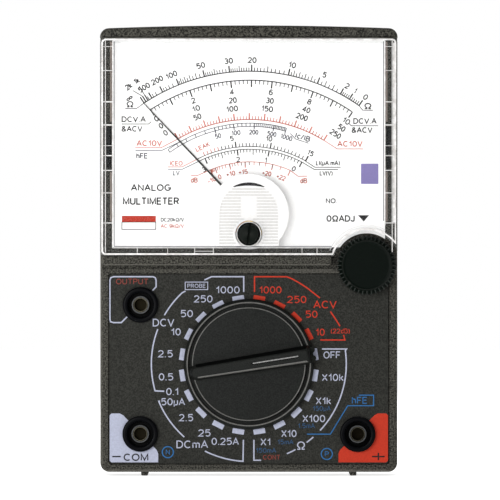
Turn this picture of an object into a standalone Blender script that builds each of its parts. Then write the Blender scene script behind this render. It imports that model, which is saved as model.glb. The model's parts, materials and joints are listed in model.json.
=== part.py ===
"""Analog multimeter: case, moving-coil movement, range switch, sockets, board and cells.

Lengths are in millimetres and become metres when a mesh is stored.
The front faces -Y, +X is to the right seen from the front, and +Z is up.
The meter stands on its four foot pegs, and the origin is under the middle of its box.
"""
import math

import bmesh
import bpy
from mathutils import Matrix, Vector

MM = 0.001
GAP = 0.3                    # clearance between pieces that would touch

# Case
HALF_WIDTH = 49.5
SIDE_TOP = 149.1             # top of the case at its shoulders
CROWN_RISE = 0.9             # extra height of the arched top at the middle
CORNER = 3.0
WALL = 2.0
FOOT_LENGTH = 1.3
FOOT_RADIUS = 1.15
FOOT_X = 34.8
FRONT_FOOT_Y = -5.5
REAR_FOOT_Y = 12.0
FACE = -9.5                  # front face of the case
PARTING = 2.0                # joint between front and rear case
BACK = 17.5
BACK_CHAMFER = 2.2
RIDGE_FRONT = -15.0          # front of the bar under the window
BROW_FRONT = -15.8           # front of the bar above the window
BROW_BOTTOM = 145.9
RIDGE_LEFT, RIDGE_RIGHT = -48.8, 27.5
RIDGE_BOTTOM, RIDGE_TOP = 70.2, 73.2

# Printed panel and its recess
PANEL_HALF = 46.9
PANEL_BOTTOM, PANEL_TOP = 3.7, 67.6
RECESS_FLOOR = -8.3
LABEL_FRONT, LABEL_BACK = -9.0, -8.6

# Window and scale
WINDOW_BOTTOM, WINDOW_TOP = 73.5, 145.6
WINDOW_FRONT, WINDOW_BACK = -16.5, -9.8
WINDOW_SIDE, WINDOW_FACE = 1.3, 2.0
SCALE_HALF = 45.4
SCALE_BOTTOM, SCALE_TOP = 76.2, 145.3
SCALE_FRONT, SCALE_BACK = -9.2, -8.7
POCKET_FLOOR = -8.4
LUG_BOTTOM, LUG_TOP = 103.0, 116.0

# Movement
NEEDLE_X, NEEDLE_Z = 0.0, 87.3
NEEDLE_REST = 133.5          # degrees anticlockwise from +X, seen from the front
NEEDLE_LENGTH = 51.4
MOVEMENT_HOLE = 11.8
COVER_RADIUS = 13.3
SCREW_Z = 80.6               # zero-adjust screw
PIN_THROW = 1.0              # its pin's distance from its own axis
MOVEMENT_POST_X, MOVEMENT_POST_Z = 16.5, 79.4

# Range switch
KNOB_Z = 37.3
KNOB_RADIUS = 21.7
KNOB_REST = 9.0              # pointer angle at OFF, anticlockwise from +X
DETENTS = 20
SHAFT_RADIUS = 4.5
BALL_ANGLE = 90.0
DETENT_CREST = 15.5
DETENT_DEPTH = 0.5

# Zero-ohm control
ADJUST_X, ADJUST_Z = 39.3, 70.2
ADJUST_RADIUS = 10.0
ADJUST_CLEAR = 11.3          # arch left free around the knob in the window
DIAL_CLEAR = 10.7            # arch left free around the knob in the dial plate
ADJUST_RIBS = 40

# Sockets: name, x, z
SOCKETS = (("output", -36.1, 57.0), ("common", -36.2, 14.0), ("positive", 36.3, 13.9))
COLLAR_RADIUS = 5.95
BARREL_RADIUS = 4.9

# Board and cells
BOARD_FRONT, BOARD_BACK = -2.0, -0.4
CASE_SCREW_Z = {"lower": 9.0, "upper": 138.0}
BOARD_SCREW = (-42.0, 36.0)
CELL_RADIUS = 7.2
CELL_X = {"left": -38.6, "right": -23.4}
CELL_Y = 1.0
CELL_BOTTOM, CELL_TOP = 94.0, 143.4
SHELF_BOTTOM, SHELF_TOP = 87.0, 88.5
BLOCK_LEFT, BLOCK_RIGHT = 16.4, 42.9


# ---------------------------------------------------------------- outlines

def arc(x, z, radius, start, end, steps):
    """Points on an arc from start to end degrees, both ends included."""
    angles = [math.radians(start + (end - start) * i / steps) for i in range(steps + 1)]
    return [(x + radius * math.cos(a), z + radius * math.sin(a)) for a in angles]


def circle(x, z, radius, count=24):
    return arc(x, z, radius, 0, 360, count)[:-1]


def rounded(left, right, bottom, top, radius, steps=4):
    """Rectangle with rounded corners, anticlockwise."""
    return (arc(right - radius, bottom + radius, radius, -90, 0, steps)
            + arc(right - radius, top - radius, radius, 0, 90, steps)
            + arc(left + radius, top - radius, radius, 90, 180, steps)
            + arc(left + radius, bottom + radius, radius, 180, 270, steps))


def case_outline(inset=0.0, floor=None):
    """Case outline with its sides moved in by inset, or cut off level at floor."""
    half = HALF_WIDTH - inset
    shoulder = SIDE_TOP - inset
    radius = max(CORNER - inset, 0.5)
    run = half - radius
    crown = [(run * (1 - i / 6), shoulder + CROWN_RISE * (1 - (1 - i / 6) ** 2)) for i in range(1, 12)]
    top = (arc(run, shoulder - radius, radius, 0, 90, 4) + crown
           + arc(-run, shoulder - radius, radius, 90, 180, 4))
    if floor is not None:
        return [(-half, floor), (half, floor)] + top
    low = FOOT_LENGTH + inset + radius
    return arc(run, low, radius, -90, 0, 4) + top + arc(-run, low, radius, 180, 270, 4)


def notched(half, bottom, top, notch, corner, steps=14):
    """Window-shaped outline whose lower right corner makes room for the zero-ohm knob."""
    foot = ADJUST_X - math.sqrt(notch ** 2 - (bottom - ADJUST_Z) ** 2)
    side = ADJUST_Z + math.sqrt(notch ** 2 - (half - ADJUST_X) ** 2)
    start = math.degrees(math.atan2(bottom - ADJUST_Z, foot - ADJUST_X))
    end = math.degrees(math.atan2(side - ADJUST_Z, half - ADJUST_X))
    return (arc(ADJUST_X, ADJUST_Z, notch, start, end, steps)
            + arc(half - corner, top - corner, corner, 0, 90, 4)
            + arc(-half + corner, top - corner, corner, 90, 180, 4)
            + arc(-half + corner, bottom + corner, corner, 180, 270, 4))


def polar(x, z, radius, angle):
    """Point at radius and angle (degrees anticlockwise from +X) about x, z."""
    a = math.radians(angle)
    return (x + radius * math.cos(a), z + radius * math.sin(a))


# ---------------------------------------------------------------- mesh makers

def stack(bm, sections):
    """Closed solid through outlines of equal length, each given as (y, outline)."""
    rings = [[bm.verts.new((x, y, z)) for x, z in outline] for y, outline in sections]
    for near, far in zip(rings, rings[1:]):
        for i in range(len(near)):
            j = (i + 1) % len(near)
            bm.faces.new((near[i], near[j], far[j], far[i]))
    bm.faces.new(rings[0])
    bm.faces.new(rings[-1])
    return [vert for ring in rings for vert in ring]


def extrude(bm, outline, low, high, axis="Y"):
    """Straight prism. The outline is (x, z) for axis Y, (x, y) for Z and (y, z) for X."""
    verts = stack(bm, [(low, outline), (high, outline)])
    for vert in verts:
        first, depth, second = vert.co
        if axis == "Z":
            vert.co = (first, second, depth)
        if axis == "X":
            vert.co = (depth, first, second)
    return verts


def block(bm, x, y, z):
    """Box between the pairs x, y and z."""
    return stack(bm, [(d, [(x[0], z[0]), (x[1], z[0]), (x[1], z[1]), (x[0], z[1])]) for d in y])


def turned(bm, profile, count=24, x=0.0, z=0.0, closed=False):
    """Solid of revolution about an axis along Y, from (radius, y) pairs."""
    rings = []
    for radius, y in profile:
        around = [(x, z)] if radius == 0 else circle(x, z, radius, count)
        rings.append([bm.verts.new((px, y, pz)) for px, pz in around])
    pairs = list(zip(rings, rings[1:]))
    if closed:
        pairs.append((rings[-1], rings[0]))
    for near, far in pairs:
        for i in range(count):
            j = (i + 1) % count
            corners = (near[i % len(near)], near[j % len(near)], far[j % len(far)], far[i % len(far)])
            bm.faces.new(list(dict.fromkeys(corners)))
    return [vert for ring in rings for vert in ring]


def tube(bm, x, z, outer, inner, low, high, count=24):
    """Plain ring about an axis along Y."""
    return turned(bm, [(inner, low), (outer, low), (outer, high), (inner, high)], count, x, z, closed=True)


def disc(bm, x, z, radius, low, high, count=24):
    """Plain cylinder with its axis along Y."""
    return extrude(bm, circle(x, z, radius, count), low, high)


def turn(verts, axis, angle, centre=(0, 0, 0)):
    """Rotate vertices by angle degrees about an axis through centre."""
    spin = Matrix.Rotation(math.radians(angle), 3, axis)
    middle = Vector(centre)
    for vert in verts:
        vert.co = middle + spin @ (vert.co - middle)


def spin_front(verts, angle, x, z):
    """Rotate anticlockwise, seen from the front, about the axis through x, z."""
    turn(verts, "Y", -angle, (x, 0, z))


def sweep(bm, path, section):
    """Closed tube whose section, a list of (side, up) offsets, follows path."""
    points = [Vector(p) for p in path]
    rings = []
    side = None
    for i, point in enumerate(points):
        ahead = points[min(i + 1, len(points) - 1)] - points[max(i - 1, 0)]
        ahead.normalize()
        if side is None:
            side = ahead.orthogonal().normalized()
        side = (side - ahead * side.dot(ahead)).normalized()
        up = ahead.cross(side)
        rings.append([bm.verts.new(point + side * a + up * b) for a, b in section])
    for near, far in zip(rings, rings[1:]):
        for i in range(len(section)):
            j = (i + 1) % len(section)
            bm.faces.new((near[i], near[j], far[j], far[i]))
    bm.faces.new(rings[0])
    bm.faces.new(rings[-1])


# ---------------------------------------------------------------- objects

def finish(name, colour, roughness, metallic=0.0, alpha=1.0):
    """Principled material of its own for one node."""
    material = bpy.data.materials.new(name)
    material.use_nodes = True
    shader = material.node_tree.nodes["Principled BSDF"]
    shader.inputs["Base Color"].default_value = (*colour, 1.0)
    shader.inputs["Roughness"].default_value = roughness
    shader.inputs["Metallic"].default_value = metallic
    shader.inputs["Alpha"].default_value = alpha
    return material


DARK = ((0.065, 0.062, 0.055), 0.55)
BLACK = ((0.02, 0.022, 0.021), 0.4)
PANEL = ((0.05, 0.048, 0.044), 0.5)
WHITE = ((0.85, 0.84, 0.83), 0.45)
CLEAR = ((0.9, 0.92, 0.93), 0.08, 0.0, 0.25)
STEEL = ((0.62, 0.62, 0.63), 0.3, 1.0)
BRASS = ((0.75, 0.58, 0.27), 0.3, 1.0)
ALUMINIUM = ((0.78, 0.78, 0.79), 0.4, 1.0)
COPPER = ((0.72, 0.35, 0.18), 0.35, 1.0)
BOARD = ((0.36, 0.25, 0.09), 0.5)
CERAMIC = ((0.55, 0.5, 0.4), 0.6)
RED = ((0.5, 0.03, 0.02), 0.45)


def place(name, bm, look, origin=(0, 0, 0), smooth=None):
    """Store a millimetre mesh as an object in metres with its origin at origin."""
    bmesh.ops.recalc_face_normals(bm, faces=bm.faces)
    bmesh.ops.translate(bm, vec=-Vector(origin), verts=bm.verts)
    bmesh.ops.scale(bm, vec=(MM, MM, MM), verts=bm.verts)
    mesh = bpy.data.meshes.new(name)
    bm.to_mesh(mesh)
    bm.free()
    if smooth is not None:
        mesh.shade_smooth()
        mesh.set_sharp_from_angle(angle=math.radians(smooth))
    piece = bpy.data.objects.new(name, mesh)
    piece.location = Vector(origin) * MM
    bpy.context.scene.collection.objects.link(piece)
    if look is not None:
        mesh.materials.append(finish(name, *look))
    return piece


def modify(piece, name, bm, operation):
    """Join a hidden tool to the piece or cut it away."""
    tool = place(name, bm, None)
    tool.hide_render = True
    tool.display_type = "WIRE"
    change = piece.modifiers.new(name, "BOOLEAN")
    change.operation = operation
    change.solver = "EXACT"
    change.object = tool


def cut(piece, name, bm):
    modify(piece, name, bm, "DIFFERENCE")


def join(piece, name, bm):
    modify(piece, name, bm, "UNION")


# ---------------------------------------------------------------- case

def detent_ring_outline():
    """Inner edge of the detent ring, with one valley for each switch position."""
    points = []
    for i in range(DETENTS * 3):
        angle = 360 * i / (DETENTS * 3)
        wave = (1 + math.cos(math.radians(DETENTS * (angle - BALL_ANGLE)))) / 2
        points.append(polar(0, KNOB_Z, DETENT_CREST + DETENT_DEPTH * wave, angle))
    return points


def add_detent_ring(bm):
    """Toothed ring behind the panel, which the switch's ball clicks into."""
    inner = detent_ring_outline()
    outer = circle(0, KNOB_Z, 17.5, len(inner))
    rings = [[bm.verts.new((x, y, z)) for x, z in outline]
             for y, outline in ((-7.8, inner), (-7.8, outer), (-5.2, outer), (-5.2, inner))]
    for near, far in zip(rings, rings[1:] + rings[:1]):
        for i in range(len(near)):
            j = (i + 1) % len(near)
            bm.faces.new((near[i], near[j], far[j], far[i]))


def front_case():
    """Front shell: rim, bars above and below the window, recesses, bosses and cell shelves."""
    bm = bmesh.new()
    stack(bm, [(FACE, case_outline(0.5)), (FACE + 0.5, case_outline()), (PARTING - GAP / 2, case_outline())])
    shell = place("front_case", bm, DARK)
    bm = bmesh.new()
    extrude(bm, case_outline(WALL), FACE + WALL, PARTING + 2)
    cut(shell, "front_cavity", bm)

    bm = bmesh.new()
    stack(bm, [(BROW_FRONT, case_outline(0.5, BROW_BOTTOM)), (BROW_FRONT + 0.5, case_outline(0, BROW_BOTTOM)),
               (FACE + 1, case_outline(0, BROW_BOTTOM))])
    extrude(bm, rounded(RIDGE_LEFT, RIDGE_RIGHT, RIDGE_BOTTOM, RIDGE_TOP, 0.6), RIDGE_FRONT, FACE + 0.4)
    for side in (-1, 1):
        disc(bm, side * MOVEMENT_POST_X, MOVEMENT_POST_Z, 2.7, FACE + WALL - 0.4, 3.7, 16)
        inside = HALF_WIDTH - WALL
        shelf = [(15.0, FACE + WALL - 0.3), (inside + 0.3, FACE + WALL - 0.3), (inside + 0.3, PARTING - 0.5),
                 (inside - 0.5, PARTING - 0.5), (inside - 0.5, 9.0), (15.0, 9.0)]
        extrude(bm, [(side * x, y) for x, y in shelf], SHELF_BOTTOM, SHELF_TOP, "Z")
        peg = disc(bm, side * FOOT_X, 0, FOOT_RADIUS, 0, FOOT_LENGTH + 0.5, 12)
        turn(peg, "X", 90)
        for vert in peg:
            vert.co.y += FRONT_FOOT_Y
    disc(bm, 0, CASE_SCREW_Z["lower"], 3.0, FACE + WALL - 0.3, BOARD_FRONT - GAP, 16)
    disc(bm, 0, CASE_SCREW_Z["upper"], 3.0, FACE + WALL - 0.3, PARTING - GAP, 16)
    disc(bm, *BOARD_SCREW, 2.3, FACE + WALL - 0.3, BOARD_FRONT - GAP, 16)
    add_detent_ring(bm)
    join(shell, "front_additions", bm)

    bm = bmesh.new()
    extrude(bm, rounded(-PANEL_HALF, PANEL_HALF, PANEL_BOTTOM, PANEL_TOP, 1.2), FACE - 1, RECESS_FLOOR)
    extrude(bm, notched(SCALE_HALF + GAP, SCALE_BOTTOM - GAP, SCALE_TOP + GAP, DIAL_CLEAR - GAP, 0.6),
            FACE - 1, POCKET_FLOOR)
    block(bm, (RIDGE_LEFT, RIDGE_RIGHT), (FACE - 1, FACE + 0.5), (69.0, 70.0))
    cut(shell, "front_recesses", bm)

    bm = bmesh.new()
    disc(bm, 0, KNOB_Z, SHAFT_RADIUS + GAP, FACE, -7.0)
    disc(bm, NEEDLE_X, NEEDLE_Z, MOVEMENT_HOLE, FACE, -7.0)
    disc(bm, ADJUST_X, ADJUST_Z, 3.4, FACE - 1, -7.0, 24)
    for _, x, z in SOCKETS:
        disc(bm, x, z, BARREL_RADIUS + GAP, FACE, -7.0)
    for side in (-1, 1):
        left, right = sorted((side * 45.9, side * 47.7))
        block(bm, (left, right), (FACE - 1, -7.0), (LUG_BOTTOM - GAP, LUG_TOP + GAP))
        disc(bm, side * MOVEMENT_POST_X, MOVEMENT_POST_Z, 1.4, -5.5, 5.0, 12)
    disc(bm, 0, CASE_SCREW_Z["lower"], 1.6, -6.6, 0.0, 16)
    disc(bm, 0, CASE_SCREW_Z["upper"], 1.6, -6.6, 4.0, 16)
    disc(bm, *BOARD_SCREW, 1.3, -6.6, 0.0, 16)
    cut(shell, "front_holes", bm)


def rear_case():
    """Rear shell with screw columns and counterbores, and two of the four foot pegs."""
    bm = bmesh.new()
    stack(bm, [(PARTING + GAP / 2, case_outline()), (BACK - BACK_CHAMFER, case_outline()),
               (BACK - BACK_CHAMFER * 0.35, case_outline(BACK_CHAMFER * 0.35)),
               (BACK, case_outline(BACK_CHAMFER))])
    shell = place("rear_case", bm, DARK)
    bm = bmesh.new()
    extrude(bm, case_outline(WALL), PARTING - 2, BACK - WALL)
    cut(shell, "rear_cavity", bm)

    bm = bmesh.new()
    disc(bm, 0, CASE_SCREW_Z["lower"], 4.4, BOARD_BACK + GAP, BACK - WALL + 0.4, 24)
    disc(bm, 0, CASE_SCREW_Z["upper"], 4.4, PARTING + GAP / 2, BACK - WALL + 0.4, 24)
    for side in (-1, 1):
        peg = disc(bm, side * FOOT_X, 0, FOOT_RADIUS, 0, FOOT_LENGTH + 0.5, 12)
        turn(peg, "X", 90)
        for vert in peg:
            vert.co.y += REAR_FOOT_Y
    join(shell, "rear_additions", bm)

    bm = bmesh.new()
    for z in CASE_SCREW_Z.values():
        turned(bm, [(0, -2), (1.6, -2), (1.6, 11.0), (3.0, 11.0), (3.0, BACK + 1), (0, BACK + 1)], 20, 0, z)
    cut(shell, "rear_screw_holes", bm)


def case_screws():
    """Two long screws that pass through the rear columns into the front bosses."""
    for name, z in CASE_SCREW_Z.items():
        bm = bmesh.new()
        turned(bm, [(0, -6.0), (1.3, -6.0), (1.3, 11.3), (2.6, 11.3), (2.6, 12.9), (2.1, 13.4), (0, 13.4)],
               20, 0, z)
        screw = place("case_screw_" + name, bm, STEEL, (0, 0, z), 35)
        bm = bmesh.new()
        cross_slot(bm, 0, z, 13.0, 14.0, 1.9, 0.5)
        cut(screw, "case_screw_slot_" + name, bm)


def cross_slot(bm, x, z, low, high, reach, width):
    """Plus-shaped driver recess."""
    half = width / 2
    quarter = [(half, half), (half, reach), (-half, reach), (-half, half), (-reach, half), (-reach, -half),
               (-half, -half), (-half, -reach), (half, -reach), (half, -half), (reach, -half), (reach, half)]
    extrude(bm, [(x + a, z + b) for a, b in quarter], low, high)


def panel_label():
    """Thin printed plate in the recess, with holes for the sockets and the switch shaft."""
    bm = bmesh.new()
    edge = GAP
    extrude(bm, rounded(-PANEL_HALF + edge, PANEL_HALF - edge, PANEL_BOTTOM + edge, PANEL_TOP - edge, 1.0),
            LABEL_FRONT, LABEL_BACK)
    label = place("panel_label", bm, PANEL)
    bm = bmesh.new()
    disc(bm, 0, KNOB_Z, SHAFT_RADIUS + GAP, LABEL_FRONT - 1, LABEL_BACK + 1)
    disc(bm, ADJUST_X, ADJUST_Z, 4.6, LABEL_FRONT - 1, LABEL_BACK + 1)
    for _, x, z in SOCKETS:
        disc(bm, x, z, BARREL_RADIUS + GAP, LABEL_FRONT - 1, LABEL_BACK + 1)
    cut(label, "label_holes", bm)


# ---------------------------------------------------------------- window and scale

def meter_window():
    """Clear cover: a shallow box open at the back, with snap lugs and the screw boss."""
    half = HALF_WIDTH

    def outline(inset):
        return notched(half - inset, WINDOW_BOTTOM + inset, WINDOW_TOP - inset, ADJUST_CLEAR + inset,
                       max(1.6 - inset, 0.4))

    bm = bmesh.new()
    stack(bm, [(WINDOW_FRONT, outline(1.0)), (WINDOW_FRONT + 0.3, outline(0.4)),
               (WINDOW_FRONT + 1.0, outline(0)), (WINDOW_BACK, outline(0))])
    window = place("meter_window", bm, CLEAR)
    bm = bmesh.new()
    extrude(bm, outline(WINDOW_SIDE), WINDOW_FRONT + WINDOW_FACE, WINDOW_BACK + 1)
    cut(window, "window_cavity", bm)
    bm = bmesh.new()
    disc(bm, 0, SCREW_Z, 4.3, WINDOW_FRONT - 0.3, WINDOW_FRONT + 1)
    for side in (-1, 1):
        hook = [(46.2, -11.2), (48.6, -11.2), (48.6, -10.1), (47.4, -10.1), (47.4, -6.6), (46.2, -6.6)]
        extrude(bm, [(side * x, y) for x, y in hook], LUG_BOTTOM, LUG_TOP, "Z")
    join(window, "window_additions", bm)
    bm = bmesh.new()
    disc(bm, 0, SCREW_Z, 3.6, WINDOW_FRONT - 1, WINDOW_FRONT + 4)
    cut(window, "window_hole", bm)


def scale_plate():
    """White dial plate, cut away for the movement and the zero-ohm knob."""
    bm = bmesh.new()
    extrude(bm, notched(SCALE_HALF, SCALE_BOTTOM, SCALE_TOP, DIAL_CLEAR, 0.4), SCALE_FRONT, SCALE_BACK)
    plate = place("scale_plate", bm, WHITE)
    bm = bmesh.new()
    disc(bm, NEEDLE_X, NEEDLE_Z, MOVEMENT_HOLE, SCALE_FRONT - 1, SCALE_BACK + 1)
    cut(plate, "scale_hole", bm)


def cover_outline(inset):
    """Disc over the movement, carried down to the bottom edge as a ten-millimetre half-width tongue."""
    radius = COVER_RADIUS - inset
    half = 10.0 - inset
    bottom = SCALE_BOTTOM + 0.4 + inset
    drop = math.degrees(math.acos(half / radius))
    return arc(NEEDLE_X, NEEDLE_Z, radius, -drop, 180 + drop, 28) + [(-half, bottom), (half, bottom)]


def movement_cover():
    """White cover in front of the pivots, open behind its upper edge where the needle swings."""
    bm = bmesh.new()
    extrude(bm, cover_outline(0), -14.2, SCALE_FRONT - GAP)
    cover = place("movement_cover", bm, WHITE)
    bm = bmesh.new()
    extrude(bm, cover_outline(0.9), -13.4, SCALE_FRONT + 1)
    cut(cover, "cover_cavity", bm)
    bm = bmesh.new()
    block(bm, (-15, 15), (-11.0, SCALE_FRONT + 1), (NEEDLE_Z + 2.5, NEEDLE_Z + 15))
    disc(bm, 0, SCREW_Z, 4.5, -15, -13.0, 24)
    crescent = (arc(NEEDLE_X, NEEDLE_Z, 10.4, 62, 118, 10)
                + arc(NEEDLE_X, NEEDLE_Z - 4.0, 13.6, 111, 69, 10))
    extrude(bm, crescent, -15, -13.0)
    cut(cover, "cover_openings", bm)


# ---------------------------------------------------------------- movement

def sector(inner, outer, middle, spread, steps=8):
    """Part of a ring about the needle axis, centred on the angle middle."""
    return (arc(NEEDLE_X, NEEDLE_Z, outer, middle - spread, middle + spread, steps)
            + arc(NEEDLE_X, NEEDLE_Z, inner, middle + spread, middle - spread, steps))


def movement():
    """Fixed parts of the moving-coil movement."""
    x, z = NEEDLE_X, NEEDLE_Z
    bm = bmesh.new()
    tube(bm, x, z, 12.4, 9.6, -6.8, -0.2, 28)
    place("yoke_ring", bm, STEEL, (x, 0, z), 35)

    bm = bmesh.new()
    turned(bm, [(0, -7.1), (6.8, -7.1), (7.2, -6.7), (7.2, -0.3), (6.8, 0.1), (0, 0.1)], 24, x, z)
    place("core_magnet", bm, STEEL, (x, 0, z), 35)

    bm = bmesh.new()
    disc(bm, x, z, 13.0, 4.0, 5.4, 28)
    frame = place("movement_frame", bm, ALUMINIUM)
    bm = bmesh.new()
    extrude(bm, rounded(-19.5, 19.5, 76.2, 82.8, 2.5), 4.2, 5.2)
    join(frame, "frame_lugs", bm)
    bm = bmesh.new()
    for middle in (90, 270):
        extrude(bm, sector(7.5, 9.3, middle, 28, 6), -6.5, 4.7)
    join(frame, "frame_webs", bm)
    bm = bmesh.new()
    disc(bm, x, z, 1.8, 3.0, 7.0, 16)
    for side in (-1, 1):
        disc(bm, side * MOVEMENT_POST_X, MOVEMENT_POST_Z, 1.4, 3.0, 7.0, 16)
    cut(frame, "frame_holes", bm)

    bm = bmesh.new()
    extrude(bm, [(-11.0, -7.1), (-11.0, -12.1), (11.0, -12.1), (11.0, -7.1), (9.8, -7.1), (9.8, -11.1),
                 (-9.8, -11.1), (-9.8, -7.1)], z - 2.0, z + 2.0, "Z")
    bridge = place("front_bridge", bm, ALUMINIUM)
    bm = bmesh.new()
    disc(bm, x, z, 1.8, -13, -10, 16)
    cut(bridge, "bridge_hole", bm)

    for side, name in ((-1, "left"), (1, "right")):
        bm = bmesh.new()
        turned(bm, [(0, -4.5), (1.1, -4.5), (1.1, 5.7), (2.2, 5.7), (2.2, 6.7), (1.7, 7.1), (0, 7.1)], 18,
               side * MOVEMENT_POST_X, MOVEMENT_POST_Z)
        place("movement_screw_" + name, bm, STEEL, (side * MOVEMENT_POST_X, 0, MOVEMENT_POST_Z), 35)


def jewel_screws():
    """Front and rear bearing screws with cups for the pivot points."""
    x, z = NEEDLE_X, NEEDLE_Z
    bm = bmesh.new()
    turned(bm, [(0, -13.1), (1.5, -13.1), (1.5, -11.2), (0.9, -11.2), (0, -11.7)], 16, x, z)
    screw = place("front_jewel_screw", bm, BRASS, (x, 0, z), 35)
    bm = bmesh.new()
    block(bm, (x - 2, x + 2), (-14, -12.7), (z - 0.25, z + 0.25))
    cut(screw, "front_jewel_slot", bm)

    bm = bmesh.new()
    turned(bm, [(0, 4.3), (0.9, 3.8), (1.5, 3.8), (1.5, 7.0), (0, 7.0)], 20, x, z)
    screw = place("rear_jewel_screw", bm, BRASS, (x, 0, z), 35)
    bm = bmesh.new()
    block(bm, (x - 2, x + 2), (6.6, 8.0), (z - 0.25, z + 0.25))
    cut(screw, "rear_jewel_slot", bm)


def spiral(bm, inner, outer, turns, low, high, start):
    """Flat spiral strip about the needle axis."""
    steps = 14
    count = turns * steps
    thick = 0.09
    edge = []
    for offset, order in ((thick, range(count + 1)), (-thick, range(count, -1, -1))):
        for i in order:
            radius = inner + (outer - inner) * i / count + offset
            edge.append(polar(NEEDLE_X, NEEDLE_Z, radius, start + 360 * i / steps))
    rings = [[bm.verts.new((x, y, z)) for x, z in edge] for y in (low, high)]
    last = len(edge) - 1
    for i in range(last + 1):
        j = (i + 1) % (last + 1)
        bm.faces.new((rings[0][i], rings[0][j], rings[1][j], rings[1][i]))
    for ring in rings:
        for i in range(count):
            bm.faces.new((ring[i], ring[i + 1], ring[last - i - 1], ring[last - i]))


def hairsprings():
    """Two spirals that bring the needle back to zero and carry current to the coil."""
    bm = bmesh.new()
    spiral(bm, 1.1, 4.0, 3, -10.9, -10.6, 90)
    place("front_hairspring", bm, COPPER, (NEEDLE_X, 0, NEEDLE_Z))
    bm = bmesh.new()
    spiral(bm, 1.1, 4.0, 3, 2.4, 2.8, 90)
    place("rear_hairspring", bm, COPPER, (NEEDLE_X, 0, NEEDLE_Z))


def moving_coil():
    """Coil, its two pivots, the needle and the weight that balances it."""
    x, z = NEEDLE_X, NEEDLE_Z
    origin = (x, 0, z)
    swing = NEEDLE_REST - 90
    outer = [(-8.9, -8.5), (8.9, -8.5), (8.9, 1.4), (-8.9, 1.4)]
    inner = [(-7.8, -7.6), (7.8, -7.6), (7.8, 0.5), (-7.8, 0.5)]
    bm = bmesh.new()
    rings = [[bm.verts.new((x + a, y, z + h)) for a, y in loop]
             for h, loop in ((-1.5, outer), (1.5, outer), (1.5, inner), (-1.5, inner))]
    for near, far in zip(rings, rings[1:] + rings[:1]):
        for i in range(4):
            j = (i + 1) % 4
            bm.faces.new((near[i], near[j], far[j], far[i]))
    spin_front(bm.verts, swing, x, z)
    place("moving_coil", bm, COPPER, origin)

    bm = bmesh.new()
    turned(bm, [(0, -11.3), (0.5, -10.6), (0.5, -8.9), (0, -8.9)], 12, x, z)
    place("front_pivot", bm, STEEL, origin, 35)
    bm = bmesh.new()
    turned(bm, [(0, 3.9), (0.5, 3.2), (0.5, 1.8), (0, 1.8)], 12, x, z)
    place("rear_pivot", bm, STEEL, origin, 35)

    bm = bmesh.new()
    root, tip, tail = 0.42, 0.17, 0.8
    outline = ([(root, 1.6), (tip, NEEDLE_LENGTH - 1.5), (0.04, NEEDLE_LENGTH), (-0.04, NEEDLE_LENGTH),
                (-tip, NEEDLE_LENGTH - 1.5), (-root, 1.6)]
               + arc(0, 0, 1.7, 118, 242, 6)
               + [(-tail / 2, -1.7), (-tail / 2, -5.3), (tail / 2, -5.3), (tail / 2, -1.7)]
               + arc(0, 0, 1.7, -62, 62, 6))
    extrude(bm, [(x + a, z + b) for a, b in outline], -10.3, -9.9)
    spin_front(bm.verts, swing, x, z)
    needle = place("needle", bm, BLACK, origin)
    bm = bmesh.new()
    disc(bm, x, z, 0.8, -11, -9, 16)
    cut(needle, "needle_hole", bm)

    bm = bmesh.new()
    weight_x, weight_z = polar(x, z, 7.5, NEEDLE_REST + 180)
    disc(bm, weight_x, weight_z, 1.89, -10.6, -9.6, 16)
    place("counterweight", bm, BRASS, origin, 35)


def zero_lever():
    """Lever on the front bearing, with a fork that takes the zero-adjust screw's pin."""
    x, z = NEEDLE_X, NEEDLE_Z
    reach = NEEDLE_Z - (SCREW_Z + PIN_THROW)
    prong, slot = 1.3, 0.65
    fork = [(-prong, -1.5), (-prong, -reach - 1.6), (-slot, -reach - 1.6), (-slot, -reach + 1.4),
            (slot, -reach + 1.4), (slot, -reach - 1.6), (prong, -reach - 1.6), (prong, -1.5)]
    bm = bmesh.new()
    disc(bm, x, z, 2.9, -13.0, -12.5, 24)
    lever = place("zero_lever", bm, BRASS, (x, 0, z))
    bm = bmesh.new()
    extrude(bm, [(x + a, z + b) for a, b in fork], -12.95, -12.55)
    stud = [(-12.95, z + 2.4), (-12.95, z + 5.1), (-10.5, z + 5.1), (-10.5, z + 4.5), (-12.5, z + 4.5),
            (-12.5, z + 2.4)]
    extrude(bm, stud, x - 0.6, x + 0.6, "X")
    join(lever, "lever_fork", bm)
    bm = bmesh.new()
    disc(bm, x, z, 1.8, -14, -12, 20)
    cut(lever, "lever_hole", bm)


def zero_adjust_screw():
    """Slotted plastic screw in the window, with an off-centre pin at its inner end."""
    x, z = 0.0, SCREW_Z
    bm = bmesh.new()
    turned(bm, [(0, -17.2), (3.1, -17.2), (3.3, -17.0), (3.3, -14.2), (4.1, -14.2), (4.1, -13.5), (0, -13.5)],
           24, x, z)
    screw = place("zero_adjust_screw", bm, BLACK, (x, 0, z), 35)
    bm = bmesh.new()
    slot = block(bm, (x - 0.35, x + 0.35), (-18, -16.3), (z - 4, z + 4))
    spin_front(slot, -8, x, z)
    cut(screw, "adjust_slot", bm)
    bm = bmesh.new()
    disc(bm, x, z + PIN_THROW, 0.45, -13.9, -12.35, 12)
    join(screw, "adjust_pin", bm)


# ---------------------------------------------------------------- range switch

def grip_outline(tail, nose, tail_half, nose_half, notch=None):
    """Grip bar seen from the front, pointing along +X from the knob's centre."""
    tail_arc = arc(-tail + tail_half, 0, tail_half, 90, 270, 6)
    if notch is None:
        tip = [(nose, -nose_half), (nose + 0.01, 0), (nose, nose_half)]
    else:
        tip = [(nose, -nose_half), (nose - notch, 0), (nose, nose_half)]
    return tail_arc + tip


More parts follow.
